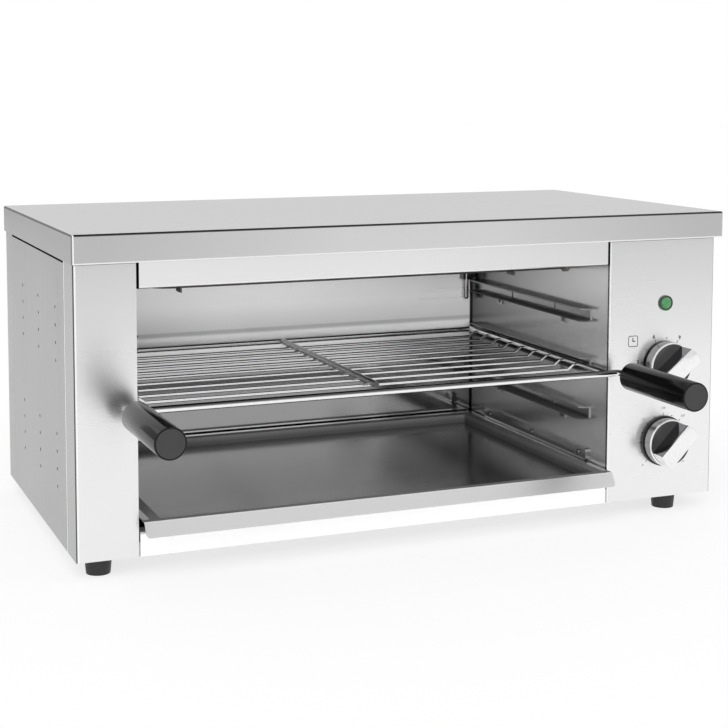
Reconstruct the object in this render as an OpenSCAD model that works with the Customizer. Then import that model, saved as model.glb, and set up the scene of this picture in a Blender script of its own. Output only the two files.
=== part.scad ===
// Cheese melter: a counter-top salamander grill with a pull-out wire rack and a crumb tray.
// Sizes in millimetres. Working coordinates start at the cover's front left corner on the bench:
// X to the right, Y to the back, Z up. from_corner() shifts them to the middle of the whole object.

/* [Overall] */
// Height from the bench to the top of the cover
overall_h = 280; // [276:1:300]
// Thickness of the folded sheet
sheet_t = 1; // [0.8:0.1:1.2]
// Outer radius of the sheet's bends
bend_r = 2; // [1.6:0.1:3]

/* [Cover] */
// Height of the cover's skirt
skirt_h = 24; // [20:1:30]
// Overhang of the cover past the left side
overhang_left = 1.5; // [1.2:0.1:4]
// Overhang of the cover past the right side
overhang_right = 6; // [3:0.5:10]
// Overhang of the cover past the front
overhang_front = 4.6; // [2:0.2:8]
// Overhang of the cover past the back
overhang_back = 2; // [1.2:0.1:6]

/* [Front] */
// Width of the pillar left of the opening
pillar_w = 51.4; // [44:0.2:60]
// Width of the opening
opening_w = 439; // [380:1:500]
// Width of the control panel right of the opening
panel_w = 112.1; // [100:0.1:130]
// Height of the hood strip that shows below the skirt
hood_show = 22; // [14:1:28]
// Height of the trim below the opening
trim_h = 20; // [16:1:21]
// Gap on each side of the hood strip and of the trim
front_gap = 1.2; // [0.6:0.1:2]
// Depth of the side returns of the pillar and the control panel
return_d = 35; // [25:1:45]

/* [Cavity] */
// Depth of the cavity behind the fascia
cavity_d = 276; // [250:1:320]
// Depth of the space between the cavity and the outside of the back panel
back_space = 28.4; // [26:0.1:50]
// Height of the cavity floor above the base pan
floor_lift = 6; // [5:1:8]
// Gap between the cavity ceiling and the cover
roof_gap = 38; // [32:1:42]
// Width of the welding flanges of the cavity walls
flange_w = 12; // [8:1:16]

/* [Rails] */
// Height of the rack's rods above the underside of the body
rack_h = 121.5; // [118:0.5:124]
// Distance between the rail levels
rail_pitch = 46; // [42:1:48]
// Distance of the rails' front ends behind the fascia
rail_setback = 31; // [24:1:45]
// Distance of the rails' back ends from the cavity's back
rail_back_gap = 14; // [10:1:30]
// Depth of the rails' flanges
rail_depth = 10; // [8:0.5:12]
// Free height between the rails' flanges
rail_clear = 10; // [8.5:0.5:12]
// Thickness of the rails
rail_t = 1.2; // [1:0.1:1.6]
// Diameter of the rivets' shanks
rivet_d = 3; // [2.4:0.2:3.6]

/* [Rack] */
// Diameter of the rack's frame rods
rod_d = 6; // [5:0.5:7]
// Diameter of the rack's thin wires
wire_d = 3; // [2.4:0.2:3.4]
// Distance between the thin wires
wire_pitch = 25.3; // [16:0.1:30]
// Distance from the back rod to the first thin wire
wire_first = 22; // [16:0.5:30]
// Length at the front of the rack that stays free of thin wires
wire_free = 49; // [30:1:70]
// Gap between the frame rods and the rails' webs
rack_side_gap = 1; // [0.8:0.1:2]
// Distance from the front rod's centre to the fascia
rack_front = 7; // [6:0.2:12]
// Distance of the back rod's centre from the cavity's back
rack_back_gap = 9; // [7:0.5:20]
// Distance from a side rod to the handle outside it
handle_out = 12.5; // [10:0.5:16]
// Radius of the bends that turn the ends of the front rod into the handles
front_bend_r = 6; // [5:0.5:8]

/* [Handles] */
// Length of a handle
handle_len = 98; // [80:1:110]
// Diameter of a handle at its free end
handle_d = 25; // [20:0.5:28]
// Diameter of a handle at its shoulder
handle_d_rear = 19.6; // [15:0.2:20]
// Distance from the front rod's centre to the handles
handle_gap = 19.6; // [17:0.2:24]
// Depth of the wire's socket in a handle
socket_d = 60; // [40:1:70]

/* [Tray] */
// Gap between the trim and the underside of the tray's pan
tray_lift = 2.5; // [1.5:0.1:3.5]
// Height of the tray's rim above its underside
tray_rim_h = 9; // [8:0.5:10]
// Width of the tray's rims
tray_rim_w = 14; // [12:0.5:18]
// Gap between the tray and each side of the opening
tray_side_gap = 1.8; // [1.2:0.1:2.4]
// How far the tray's front edge stands before the cover
tray_out = 7; // [6:0.5:10]
// Height of the tray's front lip
lip_h = 11.5; // [10:0.5:14]
// How far the lip slopes forward
lip_slope = 7; // [3:0.5:8]
// Height of the guide strips above the tray's rims
guide_h = 11; // [8:0.5:13]
// Thickness of the guide strips
guide_t = 3; // [2:0.5:4]
// Distance of the guide strips' back ends from the cavity's back
guide_back_gap = 39; // [10:1:60]

/* [Controls] */
// Distance of the control axis to the right of the panel's middle
control_x = 3.6; // [-3:0.1:4]
// Height of the pilot lamp above the underside of the body
lamp_h = 181.7; // [176:0.1:190]
// Height of the timer's axis above the underside of the body
timer_h = 124.5; // [120:0.5:134]
// Angle from the upright at which the timer's grip stands at zero
timer_zero = 51; // [40:0.5:60]
// Height of the thermostat's axis above the underside of the body
thermostat_h = 53; // [48:0.5:60]
// Angle from the upright at which the thermostat's grip stands at zero
thermostat_zero = 45; // [40:0.5:60]
// Diameter of a knob's skirt
knob_d = 44; // [38:1:46]
// Diameter of a knob's front face
knob_top_d = 42; // [32:0.5:42]
// Height of a knob's skirt
knob_skirt_h = 10.5; // [8:0.5:12]
// Height of a knob's grip above its skirt
knob_grip_h = 15.5; // [12:0.5:18]
// Width of a knob's grip
knob_grip_w = 16; // [12:0.5:18]
// Gap between a knob and the panel
knob_gap = 2.6; // [2.2:0.1:4]
// Diameter of the control shafts
shaft_d = 6; // [5:0.5:8]
// Radial running clearance of the control shafts
shaft_clear = 0.05; // [0.02:0.01:0.1]
// Flat on the control shafts, from the full diameter
shaft_flat = 1.5; // [1:0.1:2]
// Diameter of the pilot lamp's rim
lamp_d = 14; // [12:0.5:18]

/* [Elements] */
// Diameter of the heating elements
element_d = 8; // [6.5:0.5:9]
// Height of the elements' axes below the cavity ceiling
element_drop = 15; // [12:0.5:16]
// Distance between the two legs of one element
element_legs = 44; // [36:1:50]
// Distance of the first leg behind the fascia
element_inset = 80; // [70:1:90]
// Distance between the two elements
element_pitch = 92; // [80:1:96]
// Distance of the elements' bends from the left wall
element_side_gap = 32; // [20:1:50]
// Distance of the elements' straps from the cavity's side walls
hanger_in = 58; // [45:1:90]
// Distance of the bulb's axis from the cavity's back
bulb_in = 5; // [4:0.5:8]

/* [Sides and base] */
// Height of the rubber feet
foot_h = 15; // [12:0.5:18]
// Diameter of a foot at the bench
foot_d = 20; // [16:0.5:24]
// Diameter of a foot under the base pan
foot_top_d = 23; // [20:0.5:28]
// Distance of the left feet from the left side
foot_in_left = 22; // [18:0.5:30]
// Distance of the right feet from the right side
foot_in_right = 38.5; // [30:0.5:60]
// Distance of the feet from the front and from the back
foot_in_y = 19.5; // [18:0.5:40]
// Diameter of the side vents
vent_d = 3; // [2.5:0.5:6]
// Height of the middle of the side vents above the underside of the body
vent_h = 122; // [116:1:128]
// Vertical distance between the side vents
vent_pitch = 15; // [10:0.5:18]
// Distance between the columns of side vents
vent_columns_pitch = 74; // [60:1:80]
// Distance of the vent groups above and below their middle
vent_group_offset = 53.5; // [44:0.5:60]
// Diameter of the supply cable that the gland takes
cable_d = 8.4; // [7:0.2:10]
// How far the cable gland stands out from the back panel
gland_out = 10; // [8:0.5:14]

/* [Hidden] */
$fn = 48;

// Clearances
cut = 1;            // overrun of a cut past a face
seat_gap = 0.3;     // gap under a piece that slides on its rail or runner
hole_clear = 0.1;   // radial gap of a rivet or bolt in its hole
fit_gap = 0.3;      // gap between pieces that only pass each other
weld = 0.3;         // depth of a weld between crossing wires

// Body planes
body_x0 = overhang_left;
body_x1 = body_x0 + pillar_w + opening_w + panel_w;
cover_w = body_x1 + overhang_right;
body_y0 = overhang_front;
body_y1 = body_y0 + cavity_d + back_space;
cover_d = body_y1 + overhang_back;
panel_back = body_y0 + sheet_t;
under_cover = overall_h - sheet_t;
base_top = foot_h + sheet_t;
back_y = body_y1 + gland_out;
fold_d = 16;                         // depth of the strips' folds
fold_over = 10;                      // length of a folded ring that is cut away
upturn_h = 11;                       // height of the base pan's upturned edges
lap_w = 14;                          // width of the side panels' laps behind the returns
back_lap = 6;                        // how far the back panel's returns pass the cavity's back
lap_seam = 5;                        // width of a lap's seam on its side panel
vent_z = foot_h + vent_h;
side_vent_y = body_y0 + 2 * return_d + 0.4;
base_vent_d = 6;
base_vent_pitch = [14, 18];

// Opening and cavity
open_x0 = body_x0 + pillar_w;
open_x1 = open_x0 + opening_w;
open_mid = (open_x0 + open_x1) / 2;
hood_z = overall_h - skirt_h - hood_show;
trim_z = foot_h + trim_h;
cavity_y1 = body_y0 + cavity_d;
back_return_y = cavity_y1 - back_lap; // front edge of the back panel's returns
cavity_z0 = base_top + floor_lift;
cavity_z1 = under_cover - roof_gap;

// Rack
rod_r = rod_d / 2;
wire_r = wire_d / 2;
rack_z = foot_h + rack_h;
rack_y0 = body_y0 - rack_front;
rack_y1 = cavity_y1 - rack_back_gap;
rack_x0 = open_x0 + rail_t + rack_side_gap + rod_r;
rack_x1 = open_x1 - rail_t - rack_side_gap - rod_r;
wire_z = rack_z - rod_r - wire_r + weld;
wire_y0 = rack_y1 - wire_first;      // the wire next to the back rod
wire_count = floor((wire_y0 - rack_y0 - wire_free) / wire_pitch) + 1;
wire_end_in = 1.4;                   // from the rails' mouths to the wires' bends
wire_ramp = 6;                       // length of the slope at a wire's end
centre_rod_over = 18;                // how far the centre rod passes the front wire
centre_rod_y0 = wire_y0 - (wire_count - 1) * wire_pitch - centre_rod_over;
handle_x = rack_x0 - handle_out;
front_bend_x = handle_x + front_bend_r;
handle_edge = 0.8;
handle_y1 = rack_y0 - handle_gap;
handle_y0 = handle_y1 - handle_len;
handle_shoulder = handle_d_rear / 4;

// Rails
rail_y0 = body_y0 + rail_setback;
rail_y1 = cavity_y1 - rail_back_gap;
rail_len = rail_y1 - rail_y0;
rail_z0 = rack_z - rod_r - seat_gap - rail_t;
rail_h = rail_clear + 2 * rail_t;
rail_corner = 4;
slot_w = 3;
slot_h = 0.7 * rail_clear;
slot_ys = [rail_y0 + 0.28 * rail_len, rail_y0 + 0.65 * rail_len];
rivet_ys = [rail_y0 + 0.21 * rail_len, rail_y0 + 0.77 * rail_len];
ear_h = 7;
ear_w = 10;
rivet_head_h = 1.6;
rivet_head_r = rivet_d - 0.4;
rivet_tail_h = 0.7;

// Tray
tray_z = trim_z + tray_lift;
tray_top = tray_z + tray_rim_h;
tray_x0 = open_x0 + tray_side_gap;
tray_x1 = open_x1 - tray_side_gap;
tray_y0 = -tray_out;
tray_back_gap = 5;
tray_y1 = cavity_y1 - tray_back_gap;
tray_wall_in = 6;                    // distance of the pan's front wall behind the front edge
lip_corner = 3;
runner_y0 = body_y0 + fold_d + 2;
runner_y1 = cavity_y1 - 2;
runner_w = tray_side_gap + tray_rim_w - 2;
runner_top = tray_top - sheet_t - seat_gap;
guide_gap = 0.5;                     // gap between the tray's rim and the strip above it
guide_z = tray_top + guide_gap;
guide_y0 = rail_y0 + 2;
guide_y1 = cavity_y1 - guide_back_gap;
guide_corner = 3;
guide_screw_in = 12.5;
guide_screw_ys = [guide_y0 + guide_screw_in, (guide_y0 + guide_y1) / 2, guide_y1 - guide_screw_in];
screw_d = 3;
screw_over = 3;                      // length of a guide screw past the wall

// Controls
control_cx = open_x1 + panel_w / 2 + control_x;
lamp_z = foot_h + lamp_h;
timer_z = foot_h + timer_h;
thermostat_z = foot_h + thermostat_h;
knob_h = knob_skirt_h + knob_grip_h;
knob_y1 = body_y0 - knob_gap;
knob_bevel = 0.8;
knob_bore = knob_h - 5;              // depth of the bore for the shaft
shaft_in = 20;                       // length of shaft inside a body
ring_t = knob_gap - fit_gap;
ring_d = knob_d + 2.5;
ring_bore = knob_d - 6;
timer_size = [50, 38, 50];
thermostat_size = [44, 32, 40];
control_screw_x = 14;
control_screw_in = 5;
lens_d = lamp_d - 3.5;
lamp_barrel_d = lamp_d - 2;
lens_dome = 2;
lens_in = 6;

// Elements
element_r = element_d / 2;
element_z = cavity_z1 - element_drop;
element_y0s = [body_y0 + element_inset, body_y0 + element_inset + element_pitch];
element_x0 = open_x0 + element_side_gap;
bush_d = element_d + 5;
bush_flange = [bush_d + 5, 4];       // diameter and thickness
bush_in = 2;                         // how far a bush stands into the cavity
bush_out = 8;                        // how far it stands out of it
element_x1 = open_x1 + bush_out + 18;
element_pin = 12;                    // length of an element's pins
hanger_xs = [open_x0 + hanger_in, open_x1 - hanger_in];
hanger_w = 16;
hanger_t = 1.5;
hanger_edge = 3;                     // metal round an element's hole
hanger_foot_h = 6;                   // height of the strap's web under the ceiling

// Sensor bulb in the back right corner of the cavity
bulb_d = 6;
bulb_x = open_x1 - bulb_in - 4;
bulb_y = cavity_y1 - bulb_in;
bulb_z0 = rack_z + 31.5;
bulb_over = 6;                       // length of the bulb above the ceiling
capillary_len = 8;
clip_z = bulb_z0 + 22;
clip_h = 8;
clip_wall = 2;

// Feet
foot_xs = [body_x0 + foot_in_left, body_x1 - foot_in_right];
foot_ys = [body_y0 + foot_in_y, body_y1 - foot_in_y];
bolt_d = 5;
bolt_head_h = 3;
bolt_recess = 6;                     // depth of the bolt's recess in a foot

// Gland, back screws and vents of the back panel
gland_x = body_x1 - 45;
gland_z = foot_h + 32;
gland_d = 16;
gland_nut = [gland_d + 8, 5];        // diameter and thickness of the locknut
gland_tail = 4;                      // length of the gland past its locknut
gland_hex_h = 0.4 * gland_out;
back_vent_d = 6;
back_vent_pitch = 14;
roof_vent_pitch = opening_w / 8;
block_pitch = 15;                    // distance between the terminals
block_size = [3 * block_pitch + 3, 22, 18];
block_y = cavity_y1 - 46;
case_screw_d = 4;
case_screw_in = 6;                   // length of a casing screw inside the back panel
screw_side_in = 30;
cover_screw_xs = [body_x0 + screw_side_in, open_mid, body_x1 - screw_side_in];
cover_screw_z = overall_h - skirt_h / 2;
base_screw_xs = [body_x0 + 2 * screw_side_in, open_mid, body_x1 - 3 * screw_side_in];
base_screw_z = foot_h + 7;

// ---------- helpers ----------

module from_corner() {
  translate([-cover_w / 2, -(handle_y0 + back_y) / 2, 0]) children();
}

// Box between two corners
module block(low, high) {
  translate(low) cube(high - low);
}

// Section drawn in X and Z, swept from y0 to y1
module along_y(y0, y1) {
  translate([0, y1, 0]) rotate([90, 0, 0]) linear_extrude(y1 - y0) children();
}

// Section drawn in Y and Z, swept from x0 to x1
module along_x(x0, x1) {
  translate([x0, 0, 0]) rotate([90, 0, 90]) linear_extrude(x1 - x0) children();
}

// Section drawn in X and Y, swept from z0 to z1
module along_z(z0, z1) {
  translate([0, 0, z0]) linear_extrude(z1 - z0) children();
}

// Round bar or hole along Y
module rod_y(x, z, y0, y1, d) {
  translate([x, y1, z]) rotate([90, 0, 0]) cylinder(h = y1 - y0, d = d);
}

// Round bar or hole along X
module rod_x(y, z, x0, x1, d) {
  translate([x0, y, z]) rotate([0, 90, 0]) cylinder(h = x1 - x0, d = d);
}

// Round bar or hole along Z
module rod_z(x, y, z0, z1, d) {
  translate([x, y, z0]) cylinder(h = z1 - z0, d = d);
}

// Rectangle with rounded corners
module round_rect(x0, y0, x1, y1, r) {
  translate([x0 + r, y0]) square([x1 - x0 - 2 * r, y1 - y0]);
  translate([x0, y0 + r]) square([x1 - x0, y1 - y0 - 2 * r]);
  for (x = [x0 + r, x1 - r], y = [y0 + r, y1 - r]) translate([x, y]) circle(r);
}

// Closed ring of sheet, from which folded sections are cut
module fold_ring(x0, y0, x1, y1) {
  difference() {
    round_rect(x0, y0, x1, y1, bend_r);
    round_rect(x0 + sheet_t, y0 + sheet_t, x1 - sheet_t, y1 - sheet_t, bend_r - sheet_t);
  }
}

// Mirrors a left piece to the right side of the opening
module right_side() {
  translate([open_x0 + open_x1, 0, 0]) mirror([1, 0, 0]) children();
}

// Straight bar between two points, with ball ends
module bar(a, b, d) {
  v = b - a;
  len = norm(v);
  translate(a) rotate([0, acos(v[2] / len), atan2(v[1], v[0])]) cylinder(h = len, d = d);
  translate(a) sphere(d = d);
  translate(b) sphere(d = d);
}

// Pan-head screw whose head stands on the face at the origin and points along +Z
module pan_screw(d, len) {
  head_h = 0.6 * d;
  slot = [1.2 * d, 0.24 * d, d];
  translate([0, 0, -len]) cylinder(h = len, d = d);
  difference() {
    union() {
      cylinder(h = head_h / 2, d = 2 * d);
      translate([0, 0, head_h / 2]) cylinder(h = head_h / 2, d1 = 2 * d, d2 = 1.5 * d);
    }
    for (a = [0, 90]) rotate([0, 0, a])
      translate([-slot[0] / 2, -slot[1] / 2, head_h / 2]) cube(slot);
  }
}

// ---------- casing ----------

// Solid with the cover's rounded upper edges, to be hollowed
module cover_form(inset, r, z0) {
  low = inset + r;
  x1 = cover_w - low;
  y1 = cover_d - low;
  z = overall_h - low;
  block([inset, low, z0], [cover_w - inset, y1, z]);
  block([low, inset, z0], [x1, cover_d - inset, z]);
  block([low, low, z0], [x1, y1, z + r]);
  for (y = [low, y1]) rod_x(y, z, low, x1, 2 * r);
  for (x = [low, x1]) rod_y(x, z, low, y1, 2 * r);
  for (x = [low, x1], y = [low, y1]) {
    rod_z(x, y, z0, z, 2 * r);
    translate([x, y, z]) sphere(r);
  }
}

module top_cover() {
  color("gainsboro") from_corner() difference() {
    cover_form(0, bend_r, overall_h - skirt_h);
    cover_form(sheet_t, bend_r - sheet_t, overall_h - skirt_h - cut);
    for (x = cover_screw_xs)
      rod_y(x, cover_screw_z, cover_d - sheet_t - cut, cover_d + cut, case_screw_d + 2 * hole_clear);
  }
}

// Floor of the casing, with upturned edges and vents under the controls
module base_pan() {
  x0 = body_x0 + sheet_t;
  x1 = body_x1 - sheet_t;
  y1 = body_y1 - sheet_t;
  color("silver") from_corner() difference() {
    along_z(foot_h, base_top + upturn_h) round_rect(x0, panel_back, x1, y1, bend_r - sheet_t);
    block([x0 + sheet_t, panel_back + sheet_t, base_top],
          [x1 - sheet_t, y1 - sheet_t, base_top + upturn_h + cut]);
    for (x = foot_xs, y = foot_ys) rod_z(x, y, foot_h - cut, base_top + cut, bolt_d + 2 * hole_clear);
    for (x = base_screw_xs)
      rod_y(x, base_screw_z, y1 - sheet_t - cut, y1 + cut, case_screw_d + 2 * hole_clear);
    for (i = [-1.5 : 1 : 1.5], j = [0 : 7])
      rod_z(control_cx + i * base_vent_pitch[0], side_vent_y + j * base_vent_pitch[1],
            foot_h - cut, base_top + cut, base_vent_d);
  }
}

// One side panel: a flat sheet with set-in laps behind the returns at its front and its back
module side_sheet(x0, inward) {
  y0 = body_y0 + return_d + fit_gap;
  y1 = back_return_y - fit_gap;
  lap_x = x0 + inward * sheet_t;
  difference() {
    union() {
      block([x0, y0, foot_h], [x0 + sheet_t, y1, under_cover]);
      for (y = [[y0 - lap_w, y0 + lap_seam], [y1 - lap_seam, y1 + lap_w]])
        block([lap_x, y[0], base_top + upturn_h], [lap_x + sheet_t, y[1], under_cover]);
    }
    for (i = [0 : 2], g = [-1, 1], j = [-1.5 : 1 : 1.5])
      rod_x(side_vent_y + i * vent_columns_pitch, vent_z + g * vent_group_offset + j * vent_pitch,
            x0 - 2 * cut, x0 + sheet_t + 2 * cut, vent_d);
  }
}

module left_side_panel() {
  color("lightgray") from_corner() side_sheet(body_x0, 1);
}

module right_side_panel() {
  color("lightgray") from_corner() side_sheet(body_x1 - sheet_t, -1);
}

// Hole through the back panel
module back_hole(x, z, d) {
  rod_y(x, z, body_y1 - sheet_t - cut, body_y1 + cut, d);
}

module back_panel() {
  color("silver") from_corner() difference() {
    along_z(foot_h, under_cover) difference() {
      fold_ring(body_x0, back_return_y - fold_over, body_x1, body_y1);
      translate([body_x0 - cut, back_return_y - fold_over - cut])
        square([body_x1 - body_x0 + 2 * cut, fold_over + cut]);
    }
    back_hole(gland_x, gland_z, gland_d + 2 * hole_clear);
    for (x = cover_screw_xs) back_hole(x, cover_screw_z, case_screw_d + 2 * hole_clear);
    for (x = base_screw_xs) back_hole(x, base_screw_z, case_screw_d + 2 * hole_clear);
    for (i = [-2 : 2], j = [-2.5 : 1 : 2.5])
      back_hole(control_cx + i * back_vent_pitch, timer_z + j * back_vent_pitch, back_vent_d);
    for (i = [0.5 : 1 : 7.5])
      back_hole(open_x0 + i * roof_vent_pitch, cavity_z1 + back_vent_d, back_vent_d);
  }
}

// Left part of the fascia, folded round the side
module left_pillar() {
  y1 = body_y0 + return_d;
  color("whitesmoke") from_corner() along_z(foot_h, under_cover) difference() {
    fold_ring(body_x0, body_y0, open_x0 + fold_over, y1 + fold_over);
    translate([body_x0 - cut, y1]) square([pillar_w + 2 * fold_over, fold_over + cut]);
    translate([open_x0, body_y0 - cut]) square([fold_over + cut, return_d + 2 * fold_over]);
  }
}

// Right part of the fascia, with the holes for the lamp and the controls
module control_panel() {
  y0 = body_y0 - cut;
  y1 = body_y0 + return_d;
  color("whitesmoke") from_corner() difference() {
    along_z(foot_h, under_cover) difference() {
      fold_ring(open_x1 - fold_over, body_y0, body_x1, y1 + fold_over);
      translate([open_x1 - fold_over - cut, y1]) square([panel_w + 2 * fold_over, fold_over + cut]);
      translate([open_x1 - fold_over - cut, y0]) square([fold_over + cut, return_d + 2 * fold_over]);
    }
    for (z = [timer_z, thermostat_z]) {
      rod_y(control_cx, z, y0, panel_back + cut, shaft_d + 4);
      for (s = [-1, 1])
        rod_y(control_cx + s * control_screw_x, z, y0, panel_back + cut, screw_d + 2 * hole_clear);
    }
    rod_y(control_cx, lamp_z, y0, panel_back + cut, lamp_barrel_d + 2 * hole_clear);
  }
}

// Strip above the opening, folded back and up to carry the cavity's ceiling
module hood_strip() {
  y1 = body_y0 + fold_d;
  color("whitesmoke") from_corner() along_x(open_x0 + front_gap, open_x1 - front_gap) difference() {
    fold_ring(body_y0, hood_z, y1, under_cover + fold_over);
    translate([body_y0 - cut, under_cover]) square([fold_d + 2 * cut, fold_over + cut]);
    translate([body_y0 + sheet_t, cavity_z1]) square([fold_d, roof_gap + fold_over]);
  }
}

// Strip below the opening, folded back and down to the base pan
module lower_trim() {
  color("white") from_corner() along_x(open_x0 + front_gap, open_x1 - front_gap) difference() {
    fold_ring(body_y0, foot_h - fold_over, body_y0 + fold_d, trim_z);
    translate([body_y0 - cut, foot_h - fold_over - cut]) square([fold_d + 2 * cut, fold_over + cut]);
    translate([body_y0 + sheet_t, foot_h - cut]) square([fold_d, sheet_t + cut]);
  }
}

// ---------- cavity ----------

module cavity_back() {
  color("lightgray") from_corner()
    block([open_x0 - sheet_t, cavity_y1, base_top],
          [open_x1 + sheet_t, cavity_y1 + sheet_t, cavity_z1 + sheet_t]);
}

// Left wall of the cavity, with its welding flange behind the fascia
module wall_sheet() {
  difference() {
    along_z(base_top, cavity_z1 + sheet_t) {
      translate([open_x0 - sheet_t, panel_back]) square([sheet_t, cavity_y1 - panel_back]);
      translate([open_x0 - flange_w, panel_back]) square([flange_w, sheet_t]);
    }
    block([open_x0 - flange_w - cut, panel_back - cut, base_top - cut],
          [open_x0 + cut, panel_back + sheet_t, base_top + upturn_h]);
    for (level = [-1 : 1], y = rivet_ys)
      rod_x(y, rivet_z(level), open_x0 - sheet_t - cut, open_x0 + cut, rivet_d + 2 * hole_clear);
    for (y = guide_screw_ys)
      rod_x(y, guide_z + guide_h / 2, open_x0 - sheet_t - cut, open_x0 + cut, screw_d + 2 * hole_clear);
  }
}

module cavity_left_wall() {
  color("silver") from_corner() wall_sheet();
}

module cavity_right_wall() {
  color("silver") from_corner() difference() {
    right_side() wall_sheet();
    for (y0 = element_y0s, y = [y0, y0 + element_legs])
      rod_x(y, element_z, open_x1 - cut, open_x1 + sheet_t + cut, bush_d + 2 * hole_clear);
  }
}

module cavity_ceiling() {
  z0 = cavity_z1 - cut;
  z1 = cavity_z1 + sheet_t + cut;
  color("lightgray") from_corner() difference() {
    block([open_x0, body_y0 + fold_d - sheet_t, cavity_z1], [open_x1, cavity_y1, cavity_z1 + sheet_t]);
    for (x = hanger_xs, y0 = element_y0s)
      rod_z(x + hanger_w / 2, y0 + element_legs / 2, z0, z1, rivet_d + 2 * hole_clear);
    rod_z(bulb_x, bulb_y, z0, z1, bulb_d + 2 * hole_clear);
  }
}

module cavity_floor() {
  color("gray") from_corner()
    block([open_x0, body_y0 + fold_d, cavity_z0], [open_x1, cavity_y1, cavity_z0 + sheet_t]);
}

// ---------- rails and runners ----------

function rivet_z(level) = rail_z0 + level * rail_pitch - ear_h / 2;

// C rail on the left wall; level 0 holds the rack
module rail(level) {
  z0 = rail_z0 + level * rail_pitch;
  tip = open_x0 + rail_depth;
  color("darkgray") difference() {
    union() {
      along_y(rail_y0, rail_y1) difference() {
        translate([open_x0, z0]) square([rail_depth, rail_h]);
        translate([open_x0 + rail_t, z0 + rail_t]) square([rail_depth, rail_clear]);
      }
      for (y = rivet_ys)
        block([open_x0, y - ear_w / 2, z0 - ear_h], [open_x0 + rail_t, y + ear_w / 2, z0]);
    }
    along_z(z0 - cut, z0 + rail_h + cut) for (e = [[rail_y0, 1], [rail_y1, -1]])
      polygon([[tip + cut, e[0] - e[1] * cut], [tip - rail_corner - cut, e[0] - e[1] * cut],
               [tip + cut, e[0] + e[1] * (rail_corner + cut)]]);
    for (y = slot_ys)
      block([open_x0 - cut, y - slot_w / 2, z0 + (rail_h - slot_h) / 2],
            [open_x0 + rail_t + cut, y + slot_w / 2, z0 + (rail_h + slot_h) / 2]);
    for (y = rivet_ys)
      rod_x(y, z0 - ear_h / 2, open_x0 - cut, open_x0 + rail_t + cut, rivet_d + 2 * hole_clear);
  }
}

module rail_left_upper() { from_corner() rail(1); }
module rail_left_middle() { from_corner() rail(0); }
module rail_left_lower() { from_corner() rail(-1); }
module rail_right_upper() { from_corner() right_side() rail(1); }
module rail_right_middle() { from_corner() right_side() rail(0); }
module rail_right_lower() { from_corner() right_side() rail(-1); }

// Snap-head rivet that stands on the face at the origin and points along +Z
module rivet(grip) {
  translate([0, 0, -grip]) cylinder(h = grip, d = rivet_d);
  translate([0, 0, -grip - rivet_tail_h]) cylinder(h = rivet_tail_h, r = rivet_head_r);
  intersection() {
    translate([0, 0, rivet_head_h - rivet_head_r]) sphere(rivet_head_r);
    cylinder(h = rivet_head_h, r = rivet_head_r);
  }
}

module rail_rivets() {
  for (level = [-1 : 1], y = rivet_ys)
    translate([open_x0 + rail_t, y, rivet_z(level)]) rotate([0, 90, 0]) rivet(rail_t + sheet_t);
}

// Rivets of the rails and of the element hangers
module rivets() {
  color("silver") from_corner() {
    rail_rivets();
    right_side() rail_rivets();
    for (x = hanger_xs, y0 = element_y0s)
      translate([x + hanger_w / 2, y0 + element_legs / 2, cavity_z1 - hanger_t]) rotate([180, 0, 0])
        rivet(hanger_t + sheet_t);
  }
}

// Strip above the tray's rim, with rounded ends
module tray_guide() {
  color("silver") difference() {
    along_x(open_x0, open_x0 + guide_t)
      round_rect(guide_y0, guide_z, guide_y1, guide_z + guide_h, guide_corner);
    for (y = guide_screw_ys)
      rod_x(y, guide_z + guide_h / 2, open_x0 - cut, open_x0 + guide_t + cut, screw_d + 2 * hole_clear);
  }
}

// Angle that carries the tray's rim
module tray_runner() {
  z0 = cavity_z0 + sheet_t;
  color("darkgray") along_y(runner_y0, runner_y1) {
    translate([open_x0, z0]) square([rail_t, runner_top - z0]);
    translate([open_x0, runner_top - rail_t]) square([runner_w, rail_t]);
  }
}

module tray_guide_left() { from_corner() tray_guide(); }
module tray_guide_right() { from_corner() right_side() tray_guide(); }
module tray_runner_left() { from_corner() tray_runner(); }
module tray_runner_right() { from_corner() right_side() tray_runner(); }

module guide_screws_left() {
  for (y = guide_screw_ys)
    translate([open_x0 + guide_t, y, guide_z + guide_h / 2]) rotate([0, 90, 0])
      pan_screw(screw_d, guide_t + sheet_t + screw_over);
}

module guide_screws() {
  color("silver") from_corner() {
    guide_screws_left();
    right_side() guide_screws_left();
  }
}

// ---------- heating ----------

// Hairpin element: two legs and a bend, with its pins in the control compartment
module element(y0) {
  bend_r0 = element_legs / 2;
  color("dimgray") {
    for (y = [y0, y0 + element_legs]) {
      rod_x(y, element_z, element_x0 + bend_r0, element_x1, element_d);
      rod_x(y, element_z, element_x1, element_x1 + element_pin, element_d / 2);
    }
    translate([element_x0 + bend_r0, y0 + bend_r0, element_z]) rotate([0, 0, 90])
      rotate_extrude(angle = 180) translate([bend_r0, 0]) circle(element_r);
  }
}

module element_front() { from_corner() element(element_y0s[0]); }
module element_rear() { from_corner() element(element_y0s[1]); }

// Strap that hangs from the ceiling and holds both legs of an element
module hanger(x, y0) {
  top = cavity_z1;
  y1 = y0 + element_legs;
  y_mid = (y0 + y1) / 2;
  side = element_r + hanger_edge;
  low = element_z - side;
  difference() {
    union() {
      block([x - hanger_t / 2, y0 - side, low], [x + hanger_t / 2, y1 + side, top]);
      block([x - hanger_t / 2, y_mid - hanger_w / 2, top - hanger_t],
            [x + hanger_w, y_mid + hanger_w / 2, top]);
    }
    for (y = [y0, y1]) rod_x(y, element_z, x - hanger_t, x + hanger_t, element_d + 2 * hole_clear);
    block([x - hanger_t, y0 + side, low - cut], [x + hanger_t, y1 - side, top - hanger_foot_h]);
    rod_z(x + hanger_w / 2, y_mid, top - hanger_t - cut, top + cut, rivet_d + 2 * hole_clear);
  }
}

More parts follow.
